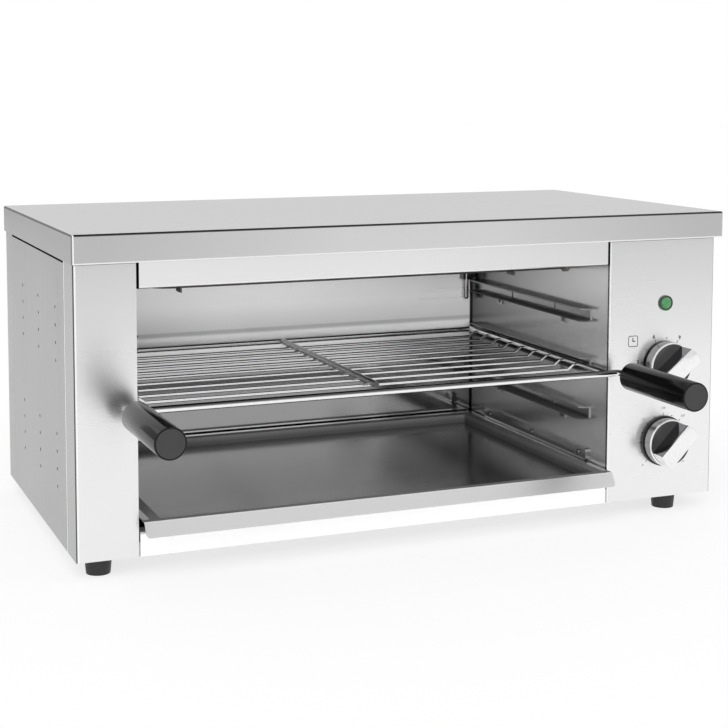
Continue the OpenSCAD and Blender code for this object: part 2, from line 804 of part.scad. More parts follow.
module element_hangers() {
  color("silver") from_corner() for (x = hanger_xs, y0 = element_y0s) hanger(x, y0);
}

// Ceramic bushes in the right wall of the cavity
module element_bushes() {
  x0 = open_x1 - bush_in;
  x1 = open_x1 + bush_out;
  flange_x = open_x1 + sheet_t;
  color("ivory") from_corner() for (y0 = element_y0s, y = [y0, y0 + element_legs]) difference() {
    union() {
      rod_x(y, element_z, x0, x1, bush_d);
      rod_x(y, element_z, flange_x, flange_x + bush_flange[1], bush_flange[0]);
    }
    rod_x(y, element_z, x0 - cut, x1 + cut, element_d + 2 * hole_clear);
  }
}

// Thermostat bulb with the start of its capillary, in the back right corner
module sensor_bulb() {
  top = cavity_z1 + sheet_t + bulb_over;
  color("gray") from_corner() {
    translate([bulb_x, bulb_y, bulb_z0 + bulb_d / 2]) sphere(d = bulb_d);
    rod_z(bulb_x, bulb_y, bulb_z0 + bulb_d / 2, top, bulb_d);
    rod_z(bulb_x, bulb_y, top, top + capillary_len, bulb_d / 3);
  }
}

// Clip that holds the bulb to the back of the cavity
module sensor_clip() {
  half_w = bulb_d / 2 + clip_wall;
  mouth = bulb_d / 3;
  color("silver") from_corner() along_z(clip_z, clip_z + clip_h) difference() {
    translate([bulb_x - half_w, bulb_y - half_w + 1]) square([2 * half_w, cavity_y1 - bulb_y + half_w - 1]);
    translate([bulb_x, bulb_y]) circle(bulb_d / 2 + hole_clear);
    translate([bulb_x - mouth, bulb_y - half_w]) square([2 * mouth, half_w]);
  }
}

// ---------- rack ----------

// End of the front rod, bent forward into a handle
module front_rod_end() {
  bend_y = rack_y0 - front_bend_r;
  translate([front_bend_x, bend_y, rack_z]) rotate([0, 0, 90])
    rotate_extrude(angle = 90) translate([front_bend_r, 0]) circle(rod_r);
  rod_y(handle_x, rack_z, handle_y1 - socket_d, bend_y, rod_d);
}

// Front rod, which carries both handles
module rack_front_rod() {
  color("silver") from_corner() {
    rod_x(rack_y0, rack_z, front_bend_x, rack_x0 + rack_x1 - front_bend_x, rod_d);
    front_rod_end();
    right_side() front_rod_end();
  }
}

// Side rod, coped to the front rod
module side_rod() {
  color("silver") difference() {
    rod_y(rack_x0, rack_z, rack_y0, rack_y1 + rod_r, rod_d);
    rod_x(rack_y0, rack_z, handle_x, rack_x0 + rod_d, rod_d);
  }
}

module rack_side_rod_left() { from_corner() side_rod(); }
module rack_side_rod_right() { from_corner() right_side() side_rod(); }

// Back rod, coped to the side rods
module rack_back_rod() {
  color("silver") from_corner() difference() {
    rod_x(rack_y1, rack_z, rack_x0, rack_x1, rod_d);
    side_rod();
    right_side() side_rod();
  }
}

module rack_centre_rod() {
  color("silver") from_corner() difference() {
    rod_y(open_mid, rack_z, centre_rod_y0, rack_y1, rod_d);
    rod_x(rack_y1, rack_z, open_mid - rod_d, open_mid + rod_d, rod_d);
  }
}

// Thin wire under the centre rod, with its ends bent up to the side rods
module thin_wire(y) {
  bend_in = rail_depth + wire_end_in;
  x0 = open_x0 + bend_in;
  x1 = open_x1 - bend_in;
  bar([x0 + wire_ramp, y, wire_z], [x1 - wire_ramp, y, wire_z], wire_d);
  bar([x0, y, rack_z], [x0 + wire_ramp, y, wire_z], wire_d);
  bar([x1, y, rack_z], [x1 - wire_ramp, y, wire_z], wire_d);
  rod_x(y, rack_z, rack_x0, x0, wire_d);
  rod_x(y, rack_z, x1, rack_x1, wire_d);
}

module rack_wires() {
  color("gainsboro") from_corner() difference() {
    for (i = [0 : wire_count - 1]) thin_wire(wire_y0 - i * wire_pitch);
    for (x = [rack_x0, rack_x1]) rod_y(x, rack_z, rack_y0, rack_y1, rod_d);
    rod_y(open_mid, rack_z, centre_rod_y0, rack_y1, rod_d);
  }
}

// Tapered handle with a rounded shoulder and a socket for the rod
module handle(x) {
  r0 = handle_d_rear / 2;
  r1 = handle_d / 2;
  c = handle_shoulder;
  edge = handle_edge;
  color([0.08, 0.08, 0.08]) translate([x, handle_y1, rack_z]) rotate([90, 0, 0]) difference() {
    rotate_extrude() {
      polygon([[0, 0], [r0 - c, 0], [r0 - c, c], [r0, c], [r1, handle_len - edge],
               [r1 - edge, handle_len], [0, handle_len]]);
      translate([r0 - c, c]) circle(c);
    }
    translate([0, 0, -cut]) cylinder(h = socket_d + cut, d = rod_d);
  }
}

module left_handle() { from_corner() handle(handle_x); }
module right_handle() { from_corner() handle(rack_x1 + handle_out); }

// ---------- crumb tray ----------

// Flat-bottomed pan with rims on four sides and a sloping lip in front
module crumb_tray() {
  pan_x0 = tray_x0 + tray_rim_w;
  pan_x1 = tray_x1 - tray_rim_w;
  pan_y0 = tray_y0 + tray_wall_in;
  pan_y1 = tray_y1 - tray_rim_w;
  lip_y = tray_y0 - lip_slope;
  lip_t = 1.2 * sheet_t;
  color("gray") from_corner() {
    difference() {
      union() {
        block([pan_x0, pan_y0, tray_z], [pan_x1, pan_y1, tray_top]);
        block([tray_x0, tray_y0, tray_top - sheet_t], [tray_x1, tray_y1, tray_top]);
      }
      block([pan_x0 + sheet_t, pan_y0 + sheet_t, tray_z + sheet_t],
            [pan_x1 - sheet_t, pan_y1 - sheet_t, tray_top + cut]);
    }
    intersection() {
      along_x(tray_x0, tray_x1) polygon([
        [tray_y0, tray_top], [tray_y0 + lip_t, tray_top],
        [lip_y + lip_t, tray_top - lip_h], [lip_y, tray_top - lip_h]
      ]);
      along_y(lip_y - cut, tray_y0 + lip_t + cut)
        round_rect(tray_x0, tray_top - lip_h, tray_x1, tray_top + lip_h, lip_corner);
    }
  }
}

// ---------- controls ----------

// Places a control's knob and shaft: +Z points out of the panel, the grip's ends lie on Y
module on_control(z, zero) {
  translate([control_cx, knob_y1, z]) rotate([90, 0, 0]) rotate([0, 0, -zero]) children();
}

// Round shaft with a flat on the length from z0 to z1
module flatted_shaft(z0, z1, flat_z) {
  difference() {
    translate([0, 0, z0]) cylinder(h = z1 - z0, d = shaft_d);
    translate([shaft_d / 2 - shaft_flat, -shaft_d, flat_z]) cube([shaft_d, 2 * shaft_d, z1 - flat_z + cut]);
  }
}

// Round knob with two half-moon cuts that leave a grip bar; the bar points to the zero mark
module knob() {
  top_r = knob_d / 2 - knob_bevel;
  difference() {
    union() {
      cylinder(h = knob_skirt_h - knob_bevel, d = knob_d);
      translate([0, 0, knob_skirt_h - knob_bevel])
        cylinder(h = knob_bevel, r1 = knob_d / 2, r2 = top_r);
      intersection() {
        translate([0, 0, knob_skirt_h]) cylinder(h = knob_grip_h, r1 = top_r, r2 = knob_top_d / 2);
        translate([-knob_grip_w / 2, -knob_d, 0]) cube([knob_grip_w, 2 * knob_d, knob_h + cut]);
      }
    }
    flatted_shaft(-cut, knob_bore, -2 * cut);
  }
}

module knob_on(z, zero) {
  color("gainsboro") on_control(z, zero) knob();
}

module shaft_on(z, zero) {
  color("silver") on_control(z, zero) flatted_shaft(-knob_gap - sheet_t - shaft_in, knob_bore, 0);
}

// Mechanism behind the panel, with the bore that carries the shaft
module control_body(z, size) {
  y1 = panel_back + size[1];
  difference() {
    block([control_cx - size[0] / 2, panel_back, z - size[2] / 2],
          [control_cx + size[0] / 2, y1, z + size[2] / 2]);
    rod_y(control_cx, z, panel_back - cut, panel_back + shaft_in + fit_gap, shaft_d + 2 * shaft_clear);
    for (s = [-1, 1])
      rod_y(control_cx + s * control_screw_x, z, panel_back - cut, panel_back + control_screw_in + fit_gap,
            screw_d + 2 * hole_clear);
  }
}

module timer_knob() { from_corner() knob_on(timer_z, timer_zero); }
module timer_shaft() { from_corner() shaft_on(timer_z, timer_zero); }
module timer_body() { color("tan") from_corner() control_body(timer_z, timer_size); }
module thermostat_knob() { from_corner() knob_on(thermostat_z, thermostat_zero); }
module thermostat_shaft() { from_corner() shaft_on(thermostat_z, thermostat_zero); }
module thermostat_body() { color("dimgray") from_corner() control_body(thermostat_z, thermostat_size); }

// Screws that hold the timer and the thermostat, hidden by the knobs
module control_screws() {
  color("silver") from_corner() for (z = [timer_z, thermostat_z], s = [-1, 1])
    translate([control_cx + s * control_screw_x, body_y0, z]) rotate([90, 0, 0])
      pan_screw(screw_d, sheet_t + control_screw_in);
}

// Black ring between the thermostat's knob and the panel
module thermostat_ring() {
  color([0.1, 0.1, 0.1]) from_corner() difference() {
    rod_y(control_cx, thermostat_z, body_y0 - ring_t, body_y0, ring_d);
    rod_y(control_cx, thermostat_z, body_y0 - ring_t - cut, body_y0 + cut, ring_bore);
  }
}

// Lens with a domed front
module pilot_lens() {
  r = lens_d / 2;
  dome_r = (r * r + lens_dome * lens_dome) / (2 * lens_dome);
  color("green") from_corner() {
    rod_y(control_cx, lamp_z, body_y0 - 1.6, panel_back + lens_in, lens_d);
    translate([control_cx, body_y0 - 1.6, lamp_z]) rotate([90, 0, 0]) intersection() {
      cylinder(h = lens_dome, d = lens_d);
      translate([0, 0, lens_dome - dome_r]) sphere(dome_r);
    }
  }
}

module pilot_holder() {
  color([0.15, 0.3, 0.2]) from_corner() difference() {
    union() {
      rod_y(control_cx, lamp_z, body_y0 - 1.6, body_y0, lamp_d);
      rod_y(control_cx, lamp_z, body_y0, panel_back + 24, lamp_barrel_d);
    }
    rod_y(control_cx, lamp_z, body_y0 - 1.6 - cut, panel_back + lens_in, lens_d);
  }
}

// Three-way block on the base pan
module terminal_block() {
  x0 = gland_x - block_size[0] / 2;
  y1 = block_y + block_size[1];
  color("ivory") from_corner() difference() {
    block([x0, block_y, base_top], [x0 + block_size[0], y1, base_top + block_size[2]]);
    for (i = [0 : 2]) {
      x = x0 + (i + 0.6) * block_pitch;
      rod_y(x, base_top + 7, block_y - cut, y1 + cut, block_pitch / 3);
      rod_z(x, block_y + 6, base_top + 7, base_top + block_size[2] + cut, 0.4 * block_pitch);
    }
  }
}

// Cable gland in the back panel, with its locknut inside
module cable_gland() {
  inner = body_y1 - sheet_t;
  tail = inner - gland_nut[1] - gland_tail;
  color([0.12, 0.12, 0.12]) from_corner() difference() {
    union() {
      rod_y(gland_x, gland_z, tail, body_y1, gland_d);
      rod_y(gland_x, gland_z, inner - gland_nut[1], inner, gland_nut[0]);
      translate([gland_x, body_y1 + gland_hex_h, gland_z]) rotate([90, 0, 0])
        cylinder(h = gland_hex_h, d = gland_nut[0], $fn = 6);
      rod_y(gland_x, gland_z, body_y1, back_y, gland_d + 1);
    }
    rod_y(gland_x, gland_z, tail - cut, back_y + cut, cable_d);
  }
}

// ---------- feet and fasteners ----------

module foot(x, y) {
  color([0.1, 0.1, 0.1]) from_corner() difference() {
    translate([x, y, 0]) cylinder(h = foot_h, d1 = foot_d, d2 = foot_top_d);
    rod_z(x, y, -cut, foot_h + cut, bolt_d + 2 * hole_clear);
    rod_z(x, y, -cut, bolt_recess, 2 * bolt_d);
  }
}

module foot_front_left() { foot(foot_xs[0], foot_ys[0]); }
module foot_front_right() { foot(foot_xs[1], foot_ys[0]); }
module foot_back_left() { foot(foot_xs[0], foot_ys[1]); }
module foot_back_right() { foot(foot_xs[1], foot_ys[1]); }

// Bolts up through the feet, with nuts on the base pan
module foot_bolts() {
  color("silver") from_corner() for (x = foot_xs, y = foot_ys) {
    rod_z(x, y, bolt_recess, base_top + bolt_d, bolt_d);
    rod_z(x, y, bolt_recess - bolt_head_h, bolt_recess, 1.8 * bolt_d);
    translate([x, y, base_top]) cylinder(h = 0.8 * bolt_d, d = 2 * bolt_d, $fn = 6);
  }
}

// Screws through the cover's skirt and along the foot of the back panel
module casing_screws() {
  color("silver") from_corner() {
    for (x = cover_screw_xs)
      translate([x, cover_d, cover_screw_z]) rotate([-90, 0, 0])
        pan_screw(case_screw_d, overhang_back + case_screw_in);
    for (x = base_screw_xs)
      translate([x, body_y1, base_screw_z]) rotate([-90, 0, 0]) pan_screw(case_screw_d, case_screw_in);
  }
}

top_cover();
base_pan();
left_side_panel();
right_side_panel();
back_panel();
left_pillar();
control_panel();
hood_strip();
lower_trim();
cavity_back();
cavity_left_wall();
cavity_right_wall();
cavity_ceiling();
cavity_floor();
rail_left_upper();
rail_left_middle();
rail_left_lower();
rail_right_upper();
rail_right_middle();
rail_right_lower();
rivets();
tray_guide_left();
tray_guide_right();
tray_runner_left();
tray_runner_right();
guide_screws();
element_front();
element_rear();
element_hangers();
element_bushes();
sensor_bulb();
sensor_clip();
rack_side_rod_left();
rack_side_rod_right();
rack_front_rod();
rack_back_rod();
rack_centre_rod();
rack_wires();
left_handle();
right_handle();
crumb_tray();
timer_knob();
timer_shaft();
timer_body();
thermostat_knob();
thermostat_shaft();
thermostat_body();
thermostat_ring();
pilot_lens();
pilot_holder();
terminal_block();
cable_gland();
foot_front_left();
foot_front_right();
foot_back_left();
foot_back_right();
foot_bolts();
casing_screws();
control_screws();
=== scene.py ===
"""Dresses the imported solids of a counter-top cheese melter and adds the fine pieces that they leave out.

The finishes give their sizes in metres, as Object coordinates do. The sub-assemblies give theirs in
millimetres until a piece is placed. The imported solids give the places, so the script follows them
when a size of the part changes.
"""

import logging
import math
from dataclasses import dataclass, field
from enum import Enum, IntEnum
from typing import Iterable, Sequence

import bmesh
import bpy
from mathutils import Matrix, Vector


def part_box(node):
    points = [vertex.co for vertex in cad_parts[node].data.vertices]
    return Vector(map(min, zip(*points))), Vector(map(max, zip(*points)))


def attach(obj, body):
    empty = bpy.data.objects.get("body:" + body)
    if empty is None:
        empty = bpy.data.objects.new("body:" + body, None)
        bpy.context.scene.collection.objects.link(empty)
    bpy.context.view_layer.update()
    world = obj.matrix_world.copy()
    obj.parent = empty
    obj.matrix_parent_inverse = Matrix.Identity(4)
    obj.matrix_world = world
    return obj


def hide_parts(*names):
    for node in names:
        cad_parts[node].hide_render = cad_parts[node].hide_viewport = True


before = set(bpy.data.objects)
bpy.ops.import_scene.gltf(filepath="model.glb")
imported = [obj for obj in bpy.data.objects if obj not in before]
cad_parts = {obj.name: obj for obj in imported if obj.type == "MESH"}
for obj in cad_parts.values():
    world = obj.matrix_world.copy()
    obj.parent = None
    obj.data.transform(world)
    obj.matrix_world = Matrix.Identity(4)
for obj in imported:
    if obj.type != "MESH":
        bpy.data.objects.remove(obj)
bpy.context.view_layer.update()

MM = 0.001
TURNED_SIDES = 96
DRUM_SIDES = 128
DOT_SIDES = 16
RIM_ANGLE = 0.6
STEEP = 0.95
NOISE_SPAN = (0.3, 0.7)
CAPITAL_SHARE = 0.7
BOLD_SHARE = 0.04
INK_H = 0.03
LEVELS = ("upper", "middle", "lower")
SIDES = ("left", "right")
log = logging.getLogger("cheese_melter")

Triple = tuple[float, float, float]
Colour = Triple
Span = tuple[float, float]
Socket = bpy.types.NodeSocket
Mesh = bmesh.types.BMesh


def grey(level: float) -> Colour:
    """Returns a neutral colour."""
    return (level, level, level)


def lighter(colour: Colour, share: float) -> Colour:
    """Scales a colour's brightness."""
    return tuple(min(1.0, channel * share) for channel in colour)


def middle(node: str) -> Vector:
    """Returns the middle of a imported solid's box, in metres."""
    low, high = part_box(node)
    return (low + high) / 2


# ---------- shader building ----------


class Grain(Enum):
    """The way the brushing runs, as the noise's scale along X, Y and Z, before the streak width."""

    ACROSS = (0.006, 1.0, 1.0)
    DEEP = (1.0, 0.006, 1.0)
    UPRIGHT = (1.0, 1.0, 0.006)
    NONE = (1.0, 1.0, 1.0)


class Nodes:
    """A node tree, and short calls for the nodes in it."""

    def __init__(self, tree: bpy.types.NodeTree) -> None:
        """Takes up a node tree."""
        self.tree = tree

    def feed(self, socket: Socket, value: object) -> None:
        """Sets an input, or links it.

        Args:
            socket: the input.
            value: a number, a colour, a list, or the output of another node.
        """
        if isinstance(value, Socket):
            self.tree.links.new(value, socket)
        elif isinstance(value, tuple):
            socket.default_value = (*value, 1.0)
        else:
            socket.default_value = value

    def add(self, kind: str, inputs: dict[str | int, object], **options: str) -> bpy.types.Node:
        """Adds a node.

        Args:
            kind: its type, without the leading ShaderNode.
            inputs: what its inputs take, by name or number.
            options: its own settings.

        Returns:
            The node.
        """
        node = self.tree.nodes.new(f"ShaderNode{kind}")
        for name, option in options.items():
            setattr(node, name, option)
        for name, value in inputs.items():
            self.feed(node.inputs[name], value)
        return node

    def combine(self, operation: str, *values: Socket | float) -> Socket:
        """Returns the result of a Math node's operation on two values."""
        return self.add("Math", dict(enumerate(values)), operation=operation).outputs[0]

    def both(self, *values: Socket | float) -> Socket:
        """Returns the product of two values, which is where two marks overlap."""
        return self.combine("MULTIPLY", *values)

    def either(self, *values: Socket | float) -> Socket:
        """Returns the larger of two values, which joins two marks."""
        return self.combine("MAXIMUM", *values)

    def outside(self, mark: Socket) -> Socket:
        """Returns 1 where a mark is 0, and 0 where it is 1."""
        return self.combine("SUBTRACT", 1.0, mark)


class Shader(Nodes):
    """A material with one Principled shader, and short calls for what feeds it."""

    def __init__(self, name: str) -> None:
        """Makes an empty material.

        Args:
            name: the material's name.
        """
        self.material = bpy.data.materials.new(name)
        self.material.use_nodes = True
        super().__init__(self.material.node_tree)
        self.surface = self.tree.nodes["Principled BSDF"]
        self.place = self.add("TexCoord", {}).outputs["Object"]

    def set(self, socket: str, value: object) -> None:
        """Feeds an input of the Principled shader."""
        self.feed(self.surface.inputs[socket], value)

    def feeding(self, socket: str) -> Socket | float:
        """Returns the output that feeds an input of the Principled shader, or else its number."""
        target = self.surface.inputs[socket]
        return target.links[0].from_socket if target.links else target.default_value

    def scale(self, socket: str, share: Socket) -> None:
        """Multiplies what feeds an input of the Principled shader by a share."""
        self.set(socket, self.both(self.feeding(socket), share))

    def noise(self, scale: float, grain: Grain = Grain.NONE, detail: float = 3.0) -> Socket:
        """Adds noise on Object coordinates.

        Args:
            scale: the noise's size, in cells per metre across the grain.
            grain: the way the noise is drawn out.
            detail: the number of finer layers.

        Returns:
            The noise's value, around 0.5.
        """
        scales = [scale * share for share in grain.value]
        place = self.add("Mapping", {"Vector": self.place, "Scale": scales}).outputs["Vector"]
        return self.add("TexNoise", {"Vector": place, "Scale": 1.0, "Detail": detail}).outputs["Fac"]

    def ramp(self, value: Socket, start: float, end: float, low: float = 0.0, high: float = 1.0) -> Socket:
        """Maps a value's stretch onto a range, and holds the ends.

        Args:
            value: the value.
            start: where the stretch starts.
            end: where it ends.
            low: the result at the start.
            high: the result at the end.

        Returns:
            The mapped value.
        """
        ends = {"From Min": start, "From Max": end, "To Min": low, "To Max": high}
        return self.add("MapRange", {"Value": value, **ends}).outputs["Result"]

    def spread(self, value: Socket, low: float = 0.0, high: float = 1.0) -> Socket:
        """Maps noise around 0.5 onto a range."""
        return self.ramp(value, *NOISE_SPAN, low, high)

    def slope(self, axis: str, *ends: float) -> Socket:
        """Maps a stretch of the Object coordinate along an axis, in metres, as ramp does."""
        return self.ramp(self.add("SeparateXYZ", {0: self.place}).outputs[axis], *ends)

    def between(self, axis: str, low: float, high: float, fade: float = 0.0003) -> Socket:
        """Marks a slab across X, Y or Z with 1, and what lies outside it with 0.

        Args:
            axis: the axis.
            low: where the slab starts, in metres.
            high: where it ends.
            fade: how far its edges fade outwards.

        Returns:
            The mark.
        """
        return self.both(self.slope(axis, low - fade, low), self.slope(axis, high, high + fade, 1.0, 0.0))

    def tint(self, share: Socket, low: Socket | Colour, high: Colour) -> Socket:
        """Mixes two colours, from the low one where the share is 0 to the high one where it is 1."""
        return self.add("Mix", {"Factor": share, "A": low, "B": high}, data_type="RGBA").outputs["Result"]

    def cover(self, mark: Socket, tone: Colour) -> None:
        """Lays another colour over the base colour, where a mark is 1."""
        self.set("Base Color", self.tint(mark, self.feeding("Base Color"), tone))

    def paint_shade(self, mark: Socket, tone: Colour = grey(0.0)) -> None:
        """Paints shade on a metal surface, where a mark is 1: a dark tone that mirrors nothing, standing in
        for the shade in a gap or a fold.

        Args:
            mark: the mark.
            tone: the colour there.
        """
        self.cover(mark, tone)
        self.scale("Metallic", self.outside(mark))
        self.set("Specular IOR Level", 0.0)

    def draw_out(self, share: float) -> None:
        """Draws the reflections out upright.

        Args:
            share: how far, from 0 to 1.
        """
        self.set("Tangent", self.add("Tangent", {}, direction_type="RADIAL", axis="Z").outputs[0])
        self.set("Anisotropic", share)
        self.set("Anisotropic Rotation", 0.25)

    def bump(self, height: Socket, strength: float, depth: float) -> None:
        """Lets a height roughen the surface.

        Args:
            height: the height's value.
            strength: the share of the bump that shows.
            depth: the bump's depth, in millimetres.
        """
        relief = {"Strength": strength, "Distance": depth * MM, "Height": height}
        self.set("Normal", self.add("Bump", relief).outputs["Normal"])


# ---------- finishes ----------

# Painted light: the first colour is a painted highlight, the second is painted shade for dark lines and
# darkening, and the third is painted shade in the joints and corners of the sheets.
PAINTED_HIGHLIGHT, PAINTED_SHADE, PAINTED_JOINT_SHADE = grey(1.0), grey(0.05), grey(0.02)
SHEET = 0.0012
BEYOND = 0.03
FOLD = 0.0007
FLANGE = 0.0014
RAIL_H = 0.0124


class End(Enum):
    """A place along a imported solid's box, as a share of the way from its low end to its high one."""

    LOW = 0.0
    MIDDLE = 0.5
    HIGH = 1.0


@dataclass(frozen=True)
class Band:
    """A slab in another tone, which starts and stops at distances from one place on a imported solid."""

    node: str
    end: End
    axis: str
    start: float
    stop: float
    tone: Colour = grey(0.0)
    share: float = 1.0
    fade: float = 0.0003
    mirrors: bool = True
    within: "Band | None" = None

    def mark(self, shader: Shader) -> Socket:
        """Marks the slab, as far as it lies within the band that bounds it.

        Args:
            shader: the material.

        Returns:
            The mark, which is 1 in the slab.
        """
        low, high = (corner["XYZ".index(self.axis)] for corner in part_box(self.node))
        place = low + (high - low) * self.end.value
        slab = shader.between(self.axis, place + self.start, place + self.stop, self.fade)
        return shader.both(slab, self.within.mark(shader)) if self.within else slab

    def lay(self, shader: Shader) -> None:
        """Lays the band over a material; unless it mirrors, it is painted shade that mirrors nothing,
        standing in for the shade in a gap or a fold.
        """
        lay_on = shader.cover if self.mirrors else shader.paint_shade
        lay_on(shader.both(self.mark(shader), self.share), self.tone)


@dataclass(frozen=True)
class Finish:
    """A surface finish, made into a material once and then shared."""

    name: str
    tone: Colour
    bands: tuple[Band, ...] = field(default=(), kw_only=True)

    def material(self) -> bpy.types.Material:
        """Returns the finish's material, made on the first call."""
        found = bpy.data.materials.get(self.name)
        if found:
            return found
        shader = Shader(self.name)
        self.paint(shader)
        for band in self.bands:
            band.lay(shader)
        return shader.material

    def paint(self, shader: Shader) -> None:
        """Sets up the nodes of the finish's material."""
        raise NotImplementedError


@dataclass(frozen=True)
class SheetSteel(Finish):
    """Stainless sheet, brushed one way, with faint clouds from handling."""

    grain: Grain = Grain.ACROSS
    roughness: float = 0.3
    unevenness: float = 0.06
    groove: float = 0.05
    cloud: float = 0.05
    metal: float = 1.0
    drawn_out: float = 0.0
    scratch_scale: float = 2200.0
    scratch_detail: float = 4.0
    scratch_share: float = 0.5
    band_scale: float = 260.0
    cloud_scale: float = 9.0
    shade_span: Span = (0.7, 1.3)

    def paint(self, shader: Shader) -> None:
        """Sets up fine scratches, broader bands and clouds.

        Args:
            shader: the material.
        """
        scratches = shader.noise(self.scratch_scale, self.grain, self.scratch_detail)
        bands = shader.noise(self.band_scale, self.grain)
        clouds = shader.noise(self.cloud_scale)
        low, high = (lighter(self.tone, share) for share in (1.0 - self.cloud, 1.0 + self.cloud))
        shade = shader.ramp(shader.combine("ADD", clouds, bands), *self.shade_span)
        shader.set("Base Color", shader.tint(shade, low, high))
        streaks = shader.spread(bands, self.roughness - self.unevenness, self.roughness + self.unevenness)
        patches = shader.spread(clouds, -self.unevenness / 2, self.unevenness / 2)
        shader.set("Roughness", shader.combine("ADD", streaks, patches))
        shader.set("Metallic", self.metal)
        if self.drawn_out:
            shader.draw_out(self.drawn_out)
        shader.bump(scratches, self.scratch_share, self.groove)


@dataclass(frozen=True)
class PlainFinish(Finish):
    """A finish without a grain: a fine texture, under spots that differ in tone and gloss."""

    roughness: float = 0.35
    coat: float = 0.0
    texture: float = 900.0
    relief: float = 0.02
    shine: float = 0.5
    coat_roughness: float = 0.08
    metal: float = 0.0
    spots: float = 45.0
    spot_detail: float = 3.0
    texture_detail: float = 4.0
    tones: Span = (0.88, 1.12)
    gloss: Span = (0.85, 1.15)
    roughening: float = 0.3

    def shades(self) -> Iterable[Colour]:
        """Returns the two colours of the spots."""
        return (lighter(self.tone, share) for share in self.tones)

    def paint(self, shader: Shader) -> None:
        """Sets up the spots and the texture.

        Args:
            shader: the material.
        """
        spots = shader.noise(self.spots, detail=self.spot_detail)
        shader.set("Base Color", shader.tint(shader.spread(spots), *self.shades()))
        shader.set("Roughness", shader.spread(spots, *(self.roughness * share for share in self.gloss)))
        shader.set("Metallic", self.metal)
        shader.set("Specular IOR Level", self.shine)
        shader.set("Coat Weight", self.coat)
        shader.set("Coat Roughness", self.coat_roughness)
        shader.bump(shader.noise(self.texture, detail=self.texture_detail), self.roughening, self.relief)


@dataclass(frozen=True)
class Moulding(PlainFinish):
    """Moulded plastic, phenolic, rubber or ceramic, slightly worn in patches."""


@dataclass(frozen=True)
class Plating(PlainFinish):
    """Bright plating over drawn wire or turned metal, with dull spots."""

    roughness: float = 0.14
    texture: float = 420.0
    metal: float = 1.0
    spots: float = 420.0
    spot_detail: float = 4.0
    tones: Span = (0.9, 1.0)
    gloss: Span = (0.7, 1.5)
    roughening: float = 0.15


@dataclass(frozen=True)
class HeatedSheath(PlainFinish):
    """A heating element's sheath, oxidised and tempered in patches."""

    roughness: float = 1.0
    texture: float = 1800.0
    relief: float = 0.04
    metal: float = 0.8
    spots: float = 60.0
    spot_detail: float = 5.0
    texture_detail: float = 3.0
    gloss: Span = (0.62, 0.42)
    roughening: float = 0.4
    oxide: Colour = (0.09, 0.075, 0.07)

    def shades(self) -> Iterable[Colour]:
        """Returns the oxide's colour and the alloy's."""
        return self.oxide, self.tone


@dataclass(frozen=True)
class LampLens(PlainFinish):
    """A translucent coloured lens over an unlit lamp, with a faint painted glow."""

    roughness: float = 0.16
    coat: float = 0.6
    relief: float = 0.0
    coat_roughness: float = 0.05
    spots: float = 260.0
    tones: Span = (0.8, 1.15)
    gloss: Span = (1.0, 1.0)
    glow: float = 0.05

    def paint(self, shader: Shader) -> None:
        """Sets up the lens, then its painted glow.

        Args:
            shader: the material.
        """
        super().paint(shader)
        # Painted glow: the lamp is unlit, and the lens is given a faint light of its own.
        shader.set("Emission Color", self.tone)
        shader.set("Emission Strength", self.glow)


@dataclass(frozen=True)
class PanSteel(SheetSteel):
    """Bright rolled sheet of a crumb pan, with painted shade on its floor below the rims."""

    pan_shade_tone: Colour = grey(0.5)
    wall_shade_tone: Colour = grey(0.03)
    wall_share: float = 0.85
    lip_tone: Colour = grey(0.66)
    lip_dullness: float = 0.14
    rim_height: float = 0.045
    fade: float = 0.004
    front_wall: float = -0.1
    rim_w: float = 0.0155
    edge_w: float = 0.006
    front_share: float = 0.9

    def paint(self, shader: Shader) -> None:
        """Sets up the sheet, then paints shade on the pan's floor, and darker shade on its walls and rims,
        and dulls the front lip.

        Args:
            shader: the material.
        """
        super().paint(shader)
        low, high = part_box("crumb_tray")
        edge = self.front_wall - self.edge_w
        below = shader.slope("Z", self.rim_height - self.fade, self.rim_height, 1.0, 0.0)
        behind = shader.slope("Y", self.front_wall, self.front_wall + MM)
        lip = shader.slope("Y", edge - MM, edge, 1.0, 0.0)
        # Painted shade: the pan's floor below the rims is darker, standing in for the dark cavity that it
        # mirrors.
        shader.cover(shader.both(below, behind), self.pan_shade_tone)
        shader.cover(lip, self.lip_tone)
        dulled = shader.combine("ADD", shader.feeding("Roughness"), shader.both(lip, self.lip_dullness))
        shader.set("Roughness", dulled)
        # Painted shade: the pan's walls and rims and its front wall are darkened and mirror nothing.
        within, pan = (
            shader.both(
                shader.between("X", low.x + inset, high.x - inset), shader.between("Y", low.y, high.y - inset)
            )
            for inset in (self.edge_w, self.rim_w)
        )
        walls = shader.both(shader.combine("SUBTRACT", within, pan), behind)
        start = self.front_wall - self.edge_w * self.front_share
        front = shader.between("Y", start, self.front_wall + MM)
        shader.paint_shade(shader.both(shader.either(walls, front), self.wall_share), self.wall_shade_tone)


